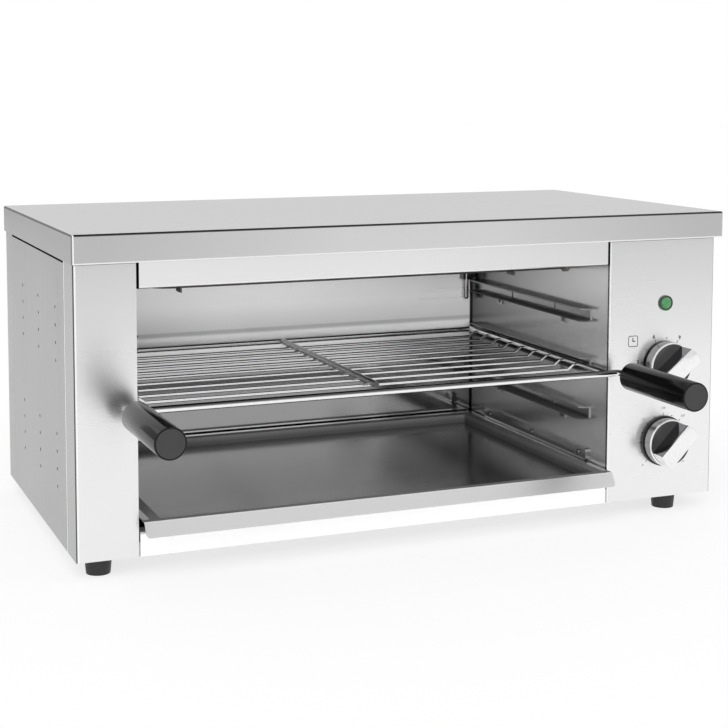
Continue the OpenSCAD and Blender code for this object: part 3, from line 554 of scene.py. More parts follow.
@dataclass(frozen=True)
class BackLinerSteel(SheetSteel):
    """Back sheet of the liner, with painted shade below the rack and a painted shade band just above it."""

    low_shade_tone: Colour = grey(0.6)
    low_gloss: float = 0.35
    low_fade: float = 0.03
    matt_share: float = 0.7
    shade_band_tone: Colour = grey(0.48)
    shade_band_z: float = 0.0135
    shade_band_w: float = 0.0025
    core_share: float = 0.8
    haze_share: float = 0.4
    haze_spread: float = 10.0

    def paint(self, shader: Shader) -> None:
        """Sets up the sheet, then the painted shade below the rack, its duller right end and the painted
        shade band above the rack.

        Args:
            shader: the material.
        """
        super().paint(shader)
        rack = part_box("rack_back_rod")[0].z
        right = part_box("cavity_right_wall")[0].x
        above = shader.slope("Z", rack - self.low_fade, rack)
        # Painted shade: the sheet below the rack is darker, standing in for the dark pan and rack that it
        # mirrors.
        shader.cover(shader.outside(above), self.low_shade_tone)
        shader.set("Metallic", shader.ramp(above, 0.0, 1.0, 1.0, self.metal))
        matt = shader.both(above, shader.slope("X", 0.0, right, 0.0, self.matt_share))
        shader.scale("Metallic", shader.outside(matt))
        shader.scale("Roughness", shader.ramp(above, 0.0, 1.0, self.low_gloss, 1.0))
        # Painted shade: a soft dark band just above the rack.
        bottom = rack + self.shade_band_z
        core = shader.between("Z", bottom, bottom + self.shade_band_w, self.shade_band_w)
        haze = shader.between("Z", bottom, bottom + self.shade_band_w, self.shade_band_w * self.haze_spread)
        haze = shader.both(haze, shader.slope("Z", bottom - self.shade_band_w, bottom, 0.0, self.haze_share))
        shader.cover(shader.either(shader.both(core, self.core_share), haze), self.shade_band_tone)


def returns(left: str, right: str, tone: Colour) -> tuple[Band, Band]:
    """Returns the painted shade on what is folded back along the sides, given the solids that end there."""
    half = SHEET / 2
    return (
        Band(left, End.LOW, "X", -BEYOND, half, tone, fade=half),
        Band(right, End.HIGH, "X", -half, BEYOND, tone, fade=half),
    )


def cover_bands() -> tuple[Band, ...]:
    """Makes the cover's painted light: painted shade on its front skirt, a painted highlight in the skirt's
    centre, its painted edge lines and painted shade on its returns.

    Returns:
        The marks, in the order in which they are laid.
    """
    # All of these are painted light: the skirt's darker tone and the darker returns are painted shade, its
    # brighter centre and the bright lines at its lower edge and left corner are painted highlights, and the
    # dark line at its top edge is painted shade.
    skirt = Band("top_cover", End.LOW, "Y", -BEYOND, SHEET, grey(0.57), fade=SHEET * 0.3)
    return (
        skirt,
        Band("top_cover", End.MIDDLE, "X", -0.07, 0.07, grey(0.73), fade=0.21, within=skirt),
        Band("top_cover", End.HIGH, "Z", -0.0016, 0.0, PAINTED_SHADE, within=skirt),
        Band("top_cover", End.LOW, "Z", 0.0, 0.0009, PAINTED_HIGHLIGHT, within=skirt),
        Band("top_cover", End.LOW, "X", 0.0009, 0.0018, PAINTED_HIGHLIGHT, within=skirt),
        *returns("top_cover", "top_cover", grey(0.3)),
    )


def front_bands() -> tuple[Band, ...]:
    """Makes the front sheets' painted light: painted shade towards the top, painted lines at the edges, the
    painted shadow below the cover and painted shade on the returns.

    Returns:
        The marks, in the order in which they are laid.
    """
    half_height = (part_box("top_cover")[0].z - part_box("control_panel")[0].z) / 2
    third = FOLD / 3
    sides = returns("left_side_panel", "right_side_panel", grey(0.36))
    folds = (
        Band("control_panel", End.LOW, "Y", third, third * 4, PAINTED_SHADE, fade=third, within=side)
        for side in sides
    )
    cuts = (Band("control_panel", End.HIGH, "Y", -SHEET * 1.5, 0.0, PAINTED_HIGHLIGHT, within=side) for side in sides)
    # Painted light, in this order: shade darkening the sheets towards the top, a highlight at the left edge,
    # a dark line at the right edge, a highlight at the opening's edge, the shadow below the cover, then the
    # returns' shade, dark fold lines and highlights on the cut edges.
    return (
        Band("top_cover", End.LOW, "Z", 0.0, BEYOND, grey(0.7), fade=half_height),
        Band("left_side_panel", End.LOW, "X", SHEET, SHEET * 2, PAINTED_HIGHLIGHT),
        Band("right_side_panel", End.HIGH, "X", -SHEET, 0.0, grey(0.18)),
        Band("control_panel", End.LOW, "X", 0.0, SHEET, PAINTED_HIGHLIGHT),
        Band("top_cover", End.LOW, "Z", -0.0009, BEYOND, grey(0.288)),
        *sides,
        *folds,
        *cuts,
    )


def rail_bands() -> tuple[Band, ...]:
    """Returns the painted shade on the rails' lower and upper flanges, which makes them darker than their
    webs.
    """
    flanges = ((level, *flange) for level in LEVELS for flange in ((-RAIL_H, 0.8), (-FLANGE, 0.3)))
    return tuple(
        Band(f"rail_left_{level}", End.HIGH, "Z", start, start + FLANGE, grey(0.03), share, mirrors=False)
        for level, start, share in flanges
    )


class Finishes:
    """The finishes of this grill."""

    COVER = SheetSteel("cover_steel", grey(0.7), Grain.ACROSS, 0.26, 0.012, 0.005, 0.006, bands=cover_bands())
    FRONT = SheetSteel(
        "front_steel", grey(0.9), Grain.ACROSS, 0.27, 0.005, 0.0004, 0.006, drawn_out=0.7, bands=front_bands()
    )
    # Painted light on the hood strip: painted shade darkening it towards its right end, a painted shadow
    # below the cover, and painted shade in the gaps at both ends.
    STRIP_BANDS = (
        Band("hood_strip", End.HIGH, "X", 0.0, BEYOND, grey(0.55), 0.3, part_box("hood_strip")[1].x),
        Band("top_cover", End.LOW, "Z", -0.0005, BEYOND, grey(0.35)),
        Band("hood_strip", End.LOW, "X", 0.0, 0.001, mirrors=False),
        Band("hood_strip", End.HIGH, "X", -0.001, 0.0, mirrors=False),
    )
    STRIP = SheetSteel("strip_steel", grey(0.86), Grain.ACROSS, 0.24, 0.01, 0.003, 0.006, bands=STRIP_BANDS)
    TRIM = SheetSteel("trim_steel", grey(0.98), Grain.ACROSS, 0.24, 0.02, 0.006, 0.008, 0.7)
    # Painted light on the side panels: their steel is given a far darker tone than the front's, as painted
    # shade, with a painted shadow under the cover and painted shade in the joint behind the pillar.
    SIDE_BANDS = (
        Band("top_cover", End.LOW, "Z", -0.0024, 0.0024, mirrors=False),
        Band("left_pillar", End.HIGH, "Y", -0.0024, 0.0006, mirrors=False),
    )
    SIDE = SheetSteel("side_steel", grey(0.41), Grain.UPRIGHT, 0.34, 0.03, 0.01, 0.02, bands=SIDE_BANDS)
    BACK = SheetSteel("back_steel", grey(0.42), Grain.ACROSS, 0.34, 0.04, 0.04, 0.03)
    WALL_FRONT, WALL_BACK = (corner.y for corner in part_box("cavity_right_wall"))
    # Painted shade on the right wall: darker towards the back of the cavity, and a dark line in the joint at
    # its front edge.
    WALL_BANDS = (
        Band("cavity_right_wall", End.HIGH, "Y", 0.0, BEYOND, PAINTED_SHADE, 0.95, WALL_BACK - WALL_FRONT),
        Band("cavity_right_wall", End.LOW, "Y", -0.0018, 0.0018, PAINTED_JOINT_SHADE),
    )
    LINER = SheetSteel(
        "liner_steel", grey(0.84), Grain.UPRIGHT, 0.2, 0.02, 0.01, 0.015, 0.9, bands=WALL_BANDS
    )
    # Painted shade in the back's corners, where it meets the two walls.
    CORNER_SHADES = (
        Band("cavity_left_wall", End.HIGH, "X", -BEYOND, 0.0016, PAINTED_JOINT_SHADE),
        Band("cavity_right_wall", End.LOW, "X", -0.0016, BEYOND, PAINTED_JOINT_SHADE),
    )
    LINER_BACK = BackLinerSteel(
        "liner_back_steel", grey(0.98), Grain.ACROSS, 0.28, 0.005, 0.0003, 0.008, 0.45, bands=CORNER_SHADES
    )
    CEILING = SheetSteel("ceiling_steel", (0.16, 0.155, 0.15), Grain.ACROSS, 0.35, 0.06, 0.02, 0.2)
    FLOOR = SheetSteel("floor_steel", grey(0.5), Grain.ACROSS, 0.25)
    TRAY = PanSteel("tray_sheet", grey(0.96), Grain.ACROSS, 0.18, 0.008, 0.001, 0.01)
    RAIL = SheetSteel("rail_strip_steel", grey(0.36), Grain.DEEP, 0.22, bands=rail_bands())
    GUIDE = SheetSteel("guide_strip_steel", grey(0.42), Grain.DEEP, 0.22)
    BRACKET = SheetSteel("bracket_strip_steel", grey(0.1), Grain.UPRIGHT)
    CLIP = SheetSteel("clip_strip_steel", grey(0.12), Grain.UPRIGHT)
    CHROME = Plating("chrome_wire", (0.88, 0.88, 0.89), 0.08)
    SAWN_END = Band("rack_centre_rod", End.LOW, "Y", 0.0, 0.0004, grey(0.1))
    CHROME_BAR = Plating("chrome_bar", grey(0.36), 0.1, bands=(SAWN_END,))
    # Painted shade: the front rod's upper half is darker, from just above the back rod's middle height.
    SHADED_TOP_HALF = Band("rack_back_rod", End.MIDDLE, "Z", 0.0012, BEYOND, grey(0.1), fade=0.0009)
    CHROME_FRONT = Plating("chrome_front_rod", grey(0.95), 0.07, bands=(SHADED_TOP_HALF,))
    ZINC = Plating("zinc_screw", (0.68, 0.68, 0.67), 0.25)
    TURNED = Plating("turned_steel", grey(0.6), 0.2)
    RIVET = Plating("dull_rivet", grey(0.26), 0.22)
    NICKEL = Plating("nickel_bulb", (0.5, 0.5, 0.49), 0.1)
    PHENOLIC = Moulding("black_phenolic", grey(0.004), 0.14, 0.0, 700.0, 0.006, 0.22)
    HANDLE_END = Moulding("handle_end", grey(0.026), 0.3, 0.0, 700.0, 0.006, 0.4)
    RUBBER = Moulding("foot_rubber_black", grey(0.012), 0.5, 0.0, 1200.0, 0.05)
    NYLON = Moulding("black_nylon", grey(0.012), 0.45)
    CERAMIC = Moulding("glazed_ceramic", (0.75, 0.72, 0.66), 0.3, 0.3)
    FIRED = Moulding("fired_ceramic", (0.2, 0.19, 0.17), 0.5)
    SWITCH = Moulding("switch_body_plastic", (0.55, 0.47, 0.3), 0.5)
    LAMP_RIM = Moulding("lamp_rim_plastic", (0.01, 0.032, 0.015), 0.3, 0.15)
    SILVER = Plating("silver_knob", grey(0.95), 0.13)
    # Painted shade: the knob's skirt and the grip's sides are plated like its top, in darker tones that stand
    # in for the dark they mirror.
    SKIRT = Plating("knob_skirt_side", grey(0.34), 0.16)
    MIRROR = Plating("knob_grip_side", (0.26, 0.26, 0.27), 0.05)
    RECESS = Moulding("knob_recess", (0.035, 0.035, 0.036), 0.14, 0.0, 300.0, 0.002)
    INK = Moulding("print_ink", (0.02, 0.02, 0.022), 0.6, shine=0.2)
    FAINT_INK = Moulding("faint_print_ink", grey(0.3), 0.6)
    WELD = Plating("weld_bead", (0.42, 0.41, 0.4), 0.35)
    SHEATH = HeatedSheath("element_sheath_alloy", (0.24, 0.22, 0.21))
    LENS = LampLens("green_lens", (0.035, 0.19, 0.06))


# ---------- pieces ----------


def dress(finish: Finish, *names: str) -> None:
    """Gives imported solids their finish.

    Args:
        finish: the finish.
        names: the nodes that take it.
    """
    for name in names:
        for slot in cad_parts[name].material_slots:
            slot.material = finish.material()
        log.info("dressed %s in %s", name, finish.name)


def put(name: str, data: bpy.types.ID) -> bpy.types.Object:
    """Puts an object into the scene.

    Args:
        name: its name.
        data: its mesh, curve, lamp or camera.

    Returns:
        The object.
    """
    item = bpy.data.objects.new(name, data)
    bpy.context.scene.collection.objects.link(item)
    return item


def put_mesh(name: str, mesh: Mesh, *materials: bpy.types.Material) -> bpy.types.Object:
    """Puts a finished mesh into the scene, and frees its draft.

    Args:
        name: the object's name.
        mesh: the draft.
        materials: the materials that its faces name by number.

    Returns:
        The object.
    """
    data = bpy.data.meshes.new(name)
    mesh.to_mesh(data)
    mesh.free()
    for material in materials:
        data.materials.append(material)
    return put(name, data)


def add_piece(
    name: str,
    mesh: Mesh,
    finishes: Sequence[Finish],
    body: str,
    place: Matrix,
    replaced: Iterable[str] = (),
    sharp_angle: float = 35.0,
) -> None:
    """Makes a piece of a mesh, with its place in its vertices, and reports it.

    Args:
        name: the piece's name.
        mesh: the mesh, in millimetres, which is freed.
        finishes: the finishes that its faces name by number.
        body: the body that it moves with.
        place: the transform to its place.
        replaced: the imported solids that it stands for.
        sharp_angle: the angle in degrees past which an edge shades sharply, or 0 for flat faces.
    """
    bmesh.ops.transform(mesh, matrix=place, verts=mesh.verts)
    for face in mesh.faces:
        face.smooth = sharp_angle > 0.0
    piece = put_mesh(name, mesh, *(finish.material() for finish in finishes))
    if sharp_angle > 0.0:
        piece.data.set_sharp_from_angle(angle=math.radians(sharp_angle))
    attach(piece, body)
    if replaced:
        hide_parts(*replaced)
    log.info("built %s on %s with %d faces", name, body, len(piece.data.polygons))


def turned(degrees: float, axis: str = "Z") -> Matrix:
    """Returns a turn about an axis."""
    return Matrix.Rotation(math.radians(degrees), 4, axis)


def facing_front(place: Vector) -> Matrix:
    """Returns the transform to the front at a place, from a plane drawn in millimetres with Z outwards."""
    return Matrix.Translation(place) @ turned(90.0, "X") @ Matrix.Scale(MM, 4)


def on_panel(shaft: str) -> Matrix:
    """Returns the same transform to the control panel's front, round a shaft."""
    place = middle(shaft)
    return facing_front(Vector((place.x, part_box("control_panel")[0].y, place.z)))


def bevel(mesh: Mesh, parts: Sequence[object], width: float, steps: int, affect: str = "EDGES") -> None:
    """Rounds edges or corners of a mesh.

    Args:
        mesh: the mesh.
        parts: the edges or corners.
        width: the bevel's width.
        steps: the number of faces across it.
        affect: EDGES or VERTICES.
    """
    bmesh.ops.bevel(mesh, geom=parts, offset=width, segments=steps, profile=0.5, affect=affect, material=-1)


# ---------- sub-assemblies ----------


class Casing:
    """The outer sheet metal, with its screws, feet and cable gland."""

    def dress_sheets(self) -> None:
        """Gives the outer sheets their brushing."""
        dress(Finishes.COVER, "top_cover")
        dress(Finishes.FRONT, "left_pillar", "control_panel")
        dress(Finishes.STRIP, "hood_strip")
        dress(Finishes.TRIM, "lower_trim")
        dress(Finishes.SIDE, "left_side_panel", "right_side_panel")
        dress(Finishes.BACK, "back_panel", "base_pan")

    def dress_fittings(self) -> None:
        """Gives the feet, screws and gland their finishes."""
        dress(Finishes.RUBBER, *(f"foot_{end}_{side}" for end in ("front", "back") for side in SIDES))
        dress(Finishes.ZINC, "foot_bolts", "casing_screws", "control_screws")
        dress(Finishes.RIVET, "guide_screws", "rivets")
        dress(Finishes.NYLON, "cable_gland")
        dress(Finishes.CERAMIC, "terminal_block")


class Cavity:
    """The liner, its rails, the heating elements and the sensor."""

    def dress_liner(self) -> None:
        """Gives the liner's sheets and rails their finishes."""
        dress(Finishes.LINER_BACK, "cavity_back")
        dress(Finishes.LINER, "cavity_left_wall", "cavity_right_wall")
        dress(Finishes.CEILING, "cavity_ceiling")
        dress(Finishes.FLOOR, "cavity_floor")
        dress(Finishes.RAIL, *(f"rail_{side}_{level}" for side in SIDES for level in LEVELS))
        dress(Finishes.GUIDE, *(f"tray_{part}_{side}" for side in SIDES for part in ("guide", "runner")))

    def dress_heaters(self) -> None:
        """Gives the elements and the sensor their finishes."""
        dress(Finishes.SHEATH, "element_front", "element_rear")
        dress(Finishes.BRACKET, "element_hangers")
        dress(Finishes.CLIP, "sensor_clip")
        dress(Finishes.FIRED, "element_bushes")
        dress(Finishes.NICKEL, "sensor_bulb")


@dataclass
class Rack:
    """The wire rack with its two handles and the weld beads between its wires."""

    body: str = "rack"
    wire_count: int = 9
    wire_d: float = 3.0
    rod_d: float = 6.0
    bead: Triple = (2.0, 1.9, 1.3)
    wire_drop: float = 2.4
    bar_sides: Span = (-1.5, 1.5)
    side_gap: float = 0.1
    back_gap: float = 2.6
    front_gap: float = 0.6
    handle_edge: float = 0.7

    def dress_wires(self) -> None:
        """Gives the rods and wires their finish."""
        rods = ("side_rod_left", "side_rod_right", "back_rod", "wires")
        dress(Finishes.CHROME, *(f"rack_{rod}" for rod in rods))
        dress(Finishes.CHROME_FRONT, "rack_front_rod")
        dress(Finishes.CHROME_BAR, "rack_centre_rod")

    def build_handles(self) -> None:
        """Makes the two handles, turned rods with broken edges and a duller front end."""
        for side in SIDES:
            name = f"{side}_handle"
            low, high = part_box(name)
            radius, length = (high.x - low.x) / 2 / MM, (high.y - low.y) / MM
            mesh = bmesh.new()
            bmesh.ops.create_cone(
                mesh, cap_ends=True, segments=TURNED_SIDES, radius1=radius, radius2=radius, depth=length
            )
            rims = [edge for edge in mesh.edges if edge.calc_face_angle(0.0) > RIM_ANGLE]
            bevel(mesh, rims, self.handle_edge, steps=4)
            end = max(mesh.faces, key=lambda face: face.calc_center_median().z)
            bmesh.ops.inset_region(mesh, faces=[end], thickness=self.handle_edge)
            end.material_index = 1
            finishes, place = [Finishes.PHENOLIC, Finishes.HANDLE_END], facing_front((low + high) / 2)
            add_piece(f"{name}_moulding", mesh, finishes, self.body, place, (name,))

    def wire_places(self) -> list[float]:
        """Returns the thin wires' places along the depth, in millimetres, from front to back."""
        low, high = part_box("rack_wires")
        first, last = low.y / MM + self.wire_d / 2, high.y / MM - self.wire_d / 2
        pitch = (last - first) / (self.wire_count - 1)
        return [first + pitch * number for number in range(self.wire_count)]

    def build_welds(self) -> None:
        """Sets a small bead on each side of every joint between a wire and a rod."""
        centre = middle("rack_centre_rod") / MM
        left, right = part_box("rack_wires")
        inset = self.rod_d / 2 + self.side_gap
        joints = []
        for y in self.wire_places():
            joints += [(centre.x + beside, y, centre.z - self.wire_drop) for beside in self.bar_sides]
            joints += [(left.x / MM + inset, y, centre.z), (right.x / MM - inset, y, centre.z)]
        back = middle("rack_back_rod") / MM
        joints.append((centre.x, back.y - self.back_gap, back.z))
        front_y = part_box("rack_front_rod")[1].y / MM
        for inside in (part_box("rack_side_rod_left")[1].x / MM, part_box("rack_side_rod_right")[0].x / MM):
            joints += [(inside, back.y, back.z), (inside, front_y - self.front_gap, back.z)]
        mesh = bmesh.new()
        size = Matrix.Diagonal((*self.bead, 1.0))
        for joint in joints:
            place = Matrix.Translation(joint) @ size
            bmesh.ops.create_icosphere(mesh, subdivisions=2, radius=1.0, matrix=place)
        add_piece("rack_welds", mesh, [Finishes.WELD], self.body, Matrix.Scale(MM, 4))


class CrumbTray:
    """The crumb tray."""

    def dress_pan(self) -> None:
        """Gives the tray its bright rolled finish."""
        dress(Finishes.TRAY, "crumb_tray")


class KnobFace(IntEnum):
    """The faces of a knob, by the number of their finish."""

    TOP = 0
    RECESS = 1
    GRIP = 2
    SKIRT = 3


@dataclass
class Knob:
    """A knob with a round skirt, two dark half-moon recesses and a grip bar between them."""

    name: str
    zero: float = -45.0
    skirt_h: float = 10.5
    rim_w: float = 1.1
    recess: float = 0.35
    top_d: float = 42.0
    grip_w: float = 16.0
    foot_gap: float = 0.5
    edge: float = 0.5
    socket_d: float = 6.4
    socket_h: float = 5.0

    def build(self) -> None:
        """Makes the knob in millimetres with its axis on Z, then sets it on its shaft."""
        low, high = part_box(f"{self.name}_knob")
        radius, height = (high.x - low.x) / 2 / MM, (high.y - low.y) / MM
        mesh = bmesh.new()
        self.spin_skirt(mesh, radius)
        self.add_grip(mesh, radius - self.rim_w, height)
        back = Vector(((low.x + high.x) / 2, high.y, (low.z + high.z) / 2))
        place, replaced = facing_front(back) @ turned(self.zero), (f"{self.name}_knob",)
        finishes = [Finishes.SILVER, Finishes.RECESS, Finishes.MIRROR, Finishes.SKIRT]
        add_piece(f"{self.name}_knob_moulding", mesh, finishes, self.name, place, replaced)

    def spin_skirt(self, mesh: Mesh, radius: float) -> None:
        """Spins the skirt and the recessed floor from their outline.

        Args:
            mesh: the mesh to add to.
            radius: the skirt's radius.
        """
        socket, rim, top = self.socket_d / 2, self.rim_w, self.skirt_h
        outline = [
            (0.0, self.socket_h),
            (socket, self.socket_h),
            (socket, 0.0),
            (radius - 0.4, 0.0),
            (radius, 0.4),
            (radius, top - rim),
            (radius - 0.25, top - 0.35),
            (radius - rim, top),
            (radius - rim - 0.25, top - 0.05),
            (radius - rim - 0.45, top - self.recess),
            (0.0, top - self.recess),
        ]
        verts = [mesh.verts.new((r, 0.0, z)) for r, z in outline]
        edges = [mesh.edges.new(pair) for pair in zip(verts, verts[1:])]
        axis = {"cent": (0.0, 0.0, 0.0), "axis": (0.0, 0.0, 1.0)}
        bmesh.ops.spin(mesh, geom=verts + edges, angle=math.tau, steps=TURNED_SIDES, use_merge=True, **axis)
        bmesh.ops.remove_doubles(mesh, verts=mesh.verts, dist=0.001)
        bmesh.ops.recalc_face_normals(mesh, faces=mesh.faces)
        for face in mesh.faces:
            centre = face.calc_center_median()
            if centre.z > top - rim and centre.xy.length < radius - rim - 0.3:
                face.material_index = KnobFace.RECESS
            elif centre.z < top - rim:
                face.material_index = KnobFace.SKIRT

    def add_grip(self, mesh: Mesh, foot_radius: float, height: float) -> None:
        """Adds the grip, a slice of a slightly tapered drum.

        Args:
            mesh: the mesh to add to.
            foot_radius: the drum's radius at the skirt.
            height: the knob's height.
        """
        grip = bmesh.new()
        base = self.skirt_h - self.recess
        bmesh.ops.create_cone(
            grip,
            cap_ends=True,
            segments=DRUM_SIDES,
            radius1=foot_radius - self.foot_gap,
            radius2=self.top_d / 2,
            depth=height - base,
            matrix=Matrix.Translation((0.0, 0.0, (height + base) / 2)),
        )
        for side in (-1.0, 1.0):
            cut = bmesh.ops.bisect_plane(
                grip,
                geom=grip.verts[:] + grip.edges[:] + grip.faces[:],
                plane_co=(side * self.grip_w / 2, 0.0, 0.0),
                plane_no=(side, 0.0, 0.0),
                clear_outer=True,
            )
            rim = [part for part in cut["geom_cut"] if isinstance(part, bmesh.types.BMEdge)]
            bmesh.ops.holes_fill(grip, edges=rim)
        bmesh.ops.recalc_face_normals(grip, faces=grip.faces)
        sharp = [edge for edge in grip.edges if edge.calc_face_angle(0.0) > RIM_ANGLE]
        upper = [edge for edge in sharp if all(vert.co.z > base + self.edge * 2 for vert in edge.verts)]
        bevel(grip, upper, self.edge, steps=3)
        for face in grip.faces:
            if abs(face.normal.x) > STEEP:
                face.material_index = KnobFace.GRIP
        merged = bpy.data.meshes.new("grip_draft")
        grip.to_mesh(merged)
        grip.free()
        mesh.from_mesh(merged)
        bpy.data.meshes.remove(merged)


@dataclass
class Scale:
    """A printed scale round a knob: numbers, ticks and dots between them."""

    name: str
    labels: tuple[str, ...]
    start: float
    step: float
    number_h: float
    number_r: float
    number_finish: Finish = Finishes.INK
    tick_from: float = 23.0
    tick_to: float = 26.0
    line_w: float = 0.6

    def build(self) -> None:
        """Prints the scale on the panel, in the panel's plane."""
        ticks, numbers = bmesh.new(), bmesh.new()
        for number, label in enumerate(self.labels):
            angle = -math.radians(self.start + self.step * number)
            self.add_tick(ticks, angle)
            place = Vector((-math.sin(angle), math.cos(angle), 0.0)) * self.number_r
            print_text(numbers, label, self.number_h, place)
            if number + 1 < len(self.labels):
                self.add_dot(ticks, angle - math.radians(self.step / 2))
        panel = on_panel(f"{self.name}_shaft")
        for part, mesh, finish in (("ticks", ticks, Finishes.INK), ("numbers", numbers, self.number_finish)):
            add_piece(f"{self.name}_{part}", mesh, [finish], "casing", panel, sharp_angle=0.0)

    def add_tick(self, mesh: Mesh, angle: float) -> None:
        """Adds a tick at an angle, anticlockwise from the top in radians."""
        size = Matrix.Diagonal((self.line_w, self.tick_to - self.tick_from, INK_H, 1.0))
        bmesh.ops.create_cube(mesh, size=1.0, matrix=self.mark_place(angle) @ size)

    def add_dot(self, mesh: Mesh, angle: float) -> None:
        """Adds a dot at an angle, anticlockwise from the top in radians."""
        ends = {"radius1": self.line_w, "radius2": self.line_w, "depth": INK_H}
        bmesh.ops.create_cone(mesh, cap_ends=True, segments=DOT_SIDES, matrix=self.mark_place(angle), **ends)

    def mark_place(self, angle: float) -> Matrix:
        """Returns the place of a tick or a dot at an angle."""
        out = Matrix.Translation((0.0, (self.tick_from + self.tick_to) / 2, INK_H / 2))
        return Matrix.Rotation(angle, 4, "Z") @ out


def print_text(mesh: Mesh, text: str, height: float, place: Vector) -> None:
    """Adds a word to a mesh, centred on a place in the XY plane.

    Args:
        mesh: the mesh to add to.
        text: the word.
        height: its capital height.
        place: its centre.
    """
    curve = bpy.data.curves.new("print_draft", "FONT")
    curve.body = text
    curve.size = height / CAPITAL_SHARE
    curve.offset = height * BOLD_SHARE
    curve.align_x = curve.align_y = "CENTER"
    curve.extrude = INK_H / 2
    curve.resolution_u = 4
    draft = put("print_draft", curve)
    bpy.context.view_layer.update()
    shape = bpy.data.meshes.new_from_object(draft.evaluated_get(bpy.context.evaluated_depsgraph_get()))
    shape.transform(Matrix.Translation(place + Vector((0.0, 0.0, INK_H / 2))))
    mesh.from_mesh(shape)
    bpy.data.objects.remove(draft)
    bpy.data.curves.remove(curve)
    bpy.data.meshes.remove(shape)


@dataclass
class Controls:
    """The two knobs, their switches and printed scales, and the pilot lamp."""

    body: str = "casing"
    clock_place: Span = (-34.0, 23.5)
    clock_size: float = 10.3
    clock_line: float = 0.65
    clock_corner: float = 2.0
    hand_share: float = 1.5
    minute_length: float = 3.6
    minute_place: Span = (-0.3, 1.5)
    hour_length: float = 2.6
    hour_place: Span = (0.8, -0.1)

    def dress_switches(self) -> None:
        """Gives the switches, shafts and the lamp their finishes."""
        dress(Finishes.TURNED, "timer_shaft", "thermostat_shaft")
        dress(Finishes.SWITCH, "timer_body", "thermostat_body")
        dress(Finishes.NYLON, "thermostat_ring")
        dress(Finishes.LENS, "pilot_lens")
        dress(Finishes.LAMP_RIM, "pilot_holder")

    def build_knobs(self) -> None:
        """Builds both knobs."""
        Knob("timer", -51.0).build()
        Knob("thermostat", -45.0).build()

    def print_scales(self) -> None:
        """Prints the minutes round the timer and the degrees round the thermostat."""
        minutes = tuple(str(minute) for minute in range(0, 16, 3))
        degrees = tuple(str(degree) for degree in range(0, 301, 50))
        Scale("timer", minutes, -141.0, 58.4, 3.6, 28.8).build()
        Scale("thermostat", degrees, -135.0, 45.0, 2.2, 30.4, Finishes.FAINT_INK).build()

    def print_clock(self) -> None:
        """Prints a small clock in a rounded square beside the timer."""
        mesh = bmesh.new()
        line = self.clock_line
        bmesh.ops.create_grid(mesh, x_segments=1, y_segments=1, size=self.clock_size / 2)
        bevel(mesh, mesh.verts[:], self.clock_corner, steps=6, affect="VERTICES")
        bmesh.ops.inset_region(
            mesh, faces=mesh.faces[:], thickness=line, use_boundary=True, use_even_offset=True
        )
        largest = max(mesh.faces, key=lambda face: face.calc_area())
        bmesh.ops.delete(mesh, geom=[largest], context="FACES")
        hand_w = line * self.hand_share
        sizes = ((hand_w, self.minute_length), (self.hour_length, hand_w))
        for size, place in zip(sizes, (self.minute_place, self.hour_place)):
            hand = Matrix.Translation((*place, 0.0)) @ Matrix.Diagonal((*size, 1.0, 1.0))
            bmesh.ops.create_grid(mesh, x_segments=1, y_segments=1, size=0.5, matrix=hand)
        bmesh.ops.recalc_face_normals(mesh, faces=mesh.faces)
        raised = bmesh.ops.extrude_face_region(mesh, geom=mesh.faces[:])
        moved = [part for part in raised["geom"] if isinstance(part, bmesh.types.BMVert)]
        bmesh.ops.translate(mesh, verts=moved, vec=(0.0, 0.0, INK_H))
        bmesh.ops.recalc_face_normals(mesh, faces=mesh.faces)
        place = on_panel("timer_shaft") @ Matrix.Translation((*self.clock_place, 0.0))
        add_piece("timer_clock_mark", mesh, [Finishes.INK], self.body, place, sharp_angle=0.0)


@dataclass(frozen=True)
class Card:
    """An upright studio card, which only reflections see.

    Its direction and its width are angles seen from the object, in degrees, anticlockwise from
    the right.
    """

    name: str
    direction: float
    width: float
    tone: float
    height: float = 1.5
    distance: float = 4.0

    def stand(self) -> None:
        """Stands the card on the floor, facing the object."""
        mesh = bmesh.new()
        half = self.distance * math.tan(math.radians(self.width / 2))
        upright = Matrix.Translation((self.distance, 0.0, self.height / 2)) @ turned(90.0, "Y")
        place = turned(self.direction) @ upright @ Matrix.Diagonal((self.height / 2, half, 1.0, 1.0))
        bmesh.ops.create_grid(mesh, x_segments=1, y_segments=1, size=1.0, matrix=place)
        stage_card(self.name, mesh, self.tone)


def stage_card(name: str, mesh: Mesh, tone: float) -> None:
    """Stages a card of one plain brightness, which only reflections see.

    Args:
        name: the card's name.
        mesh: its mesh, which is freed.
        tone: its brightness, where 1 is white.
    """
    shader = Shader(f"{name}_paper")
    shader.set("Base Color", grey(0.0))
    shader.set("Specular IOR Level", 0.0)
    shader.set("Emission Color", grey(1.0))
    shader.set("Emission Strength", tone)
    card = put_mesh(name, mesh, shader.material)
    card.visible_camera = card.visible_diffuse = card.visible_transmission = card.visible_shadow = False


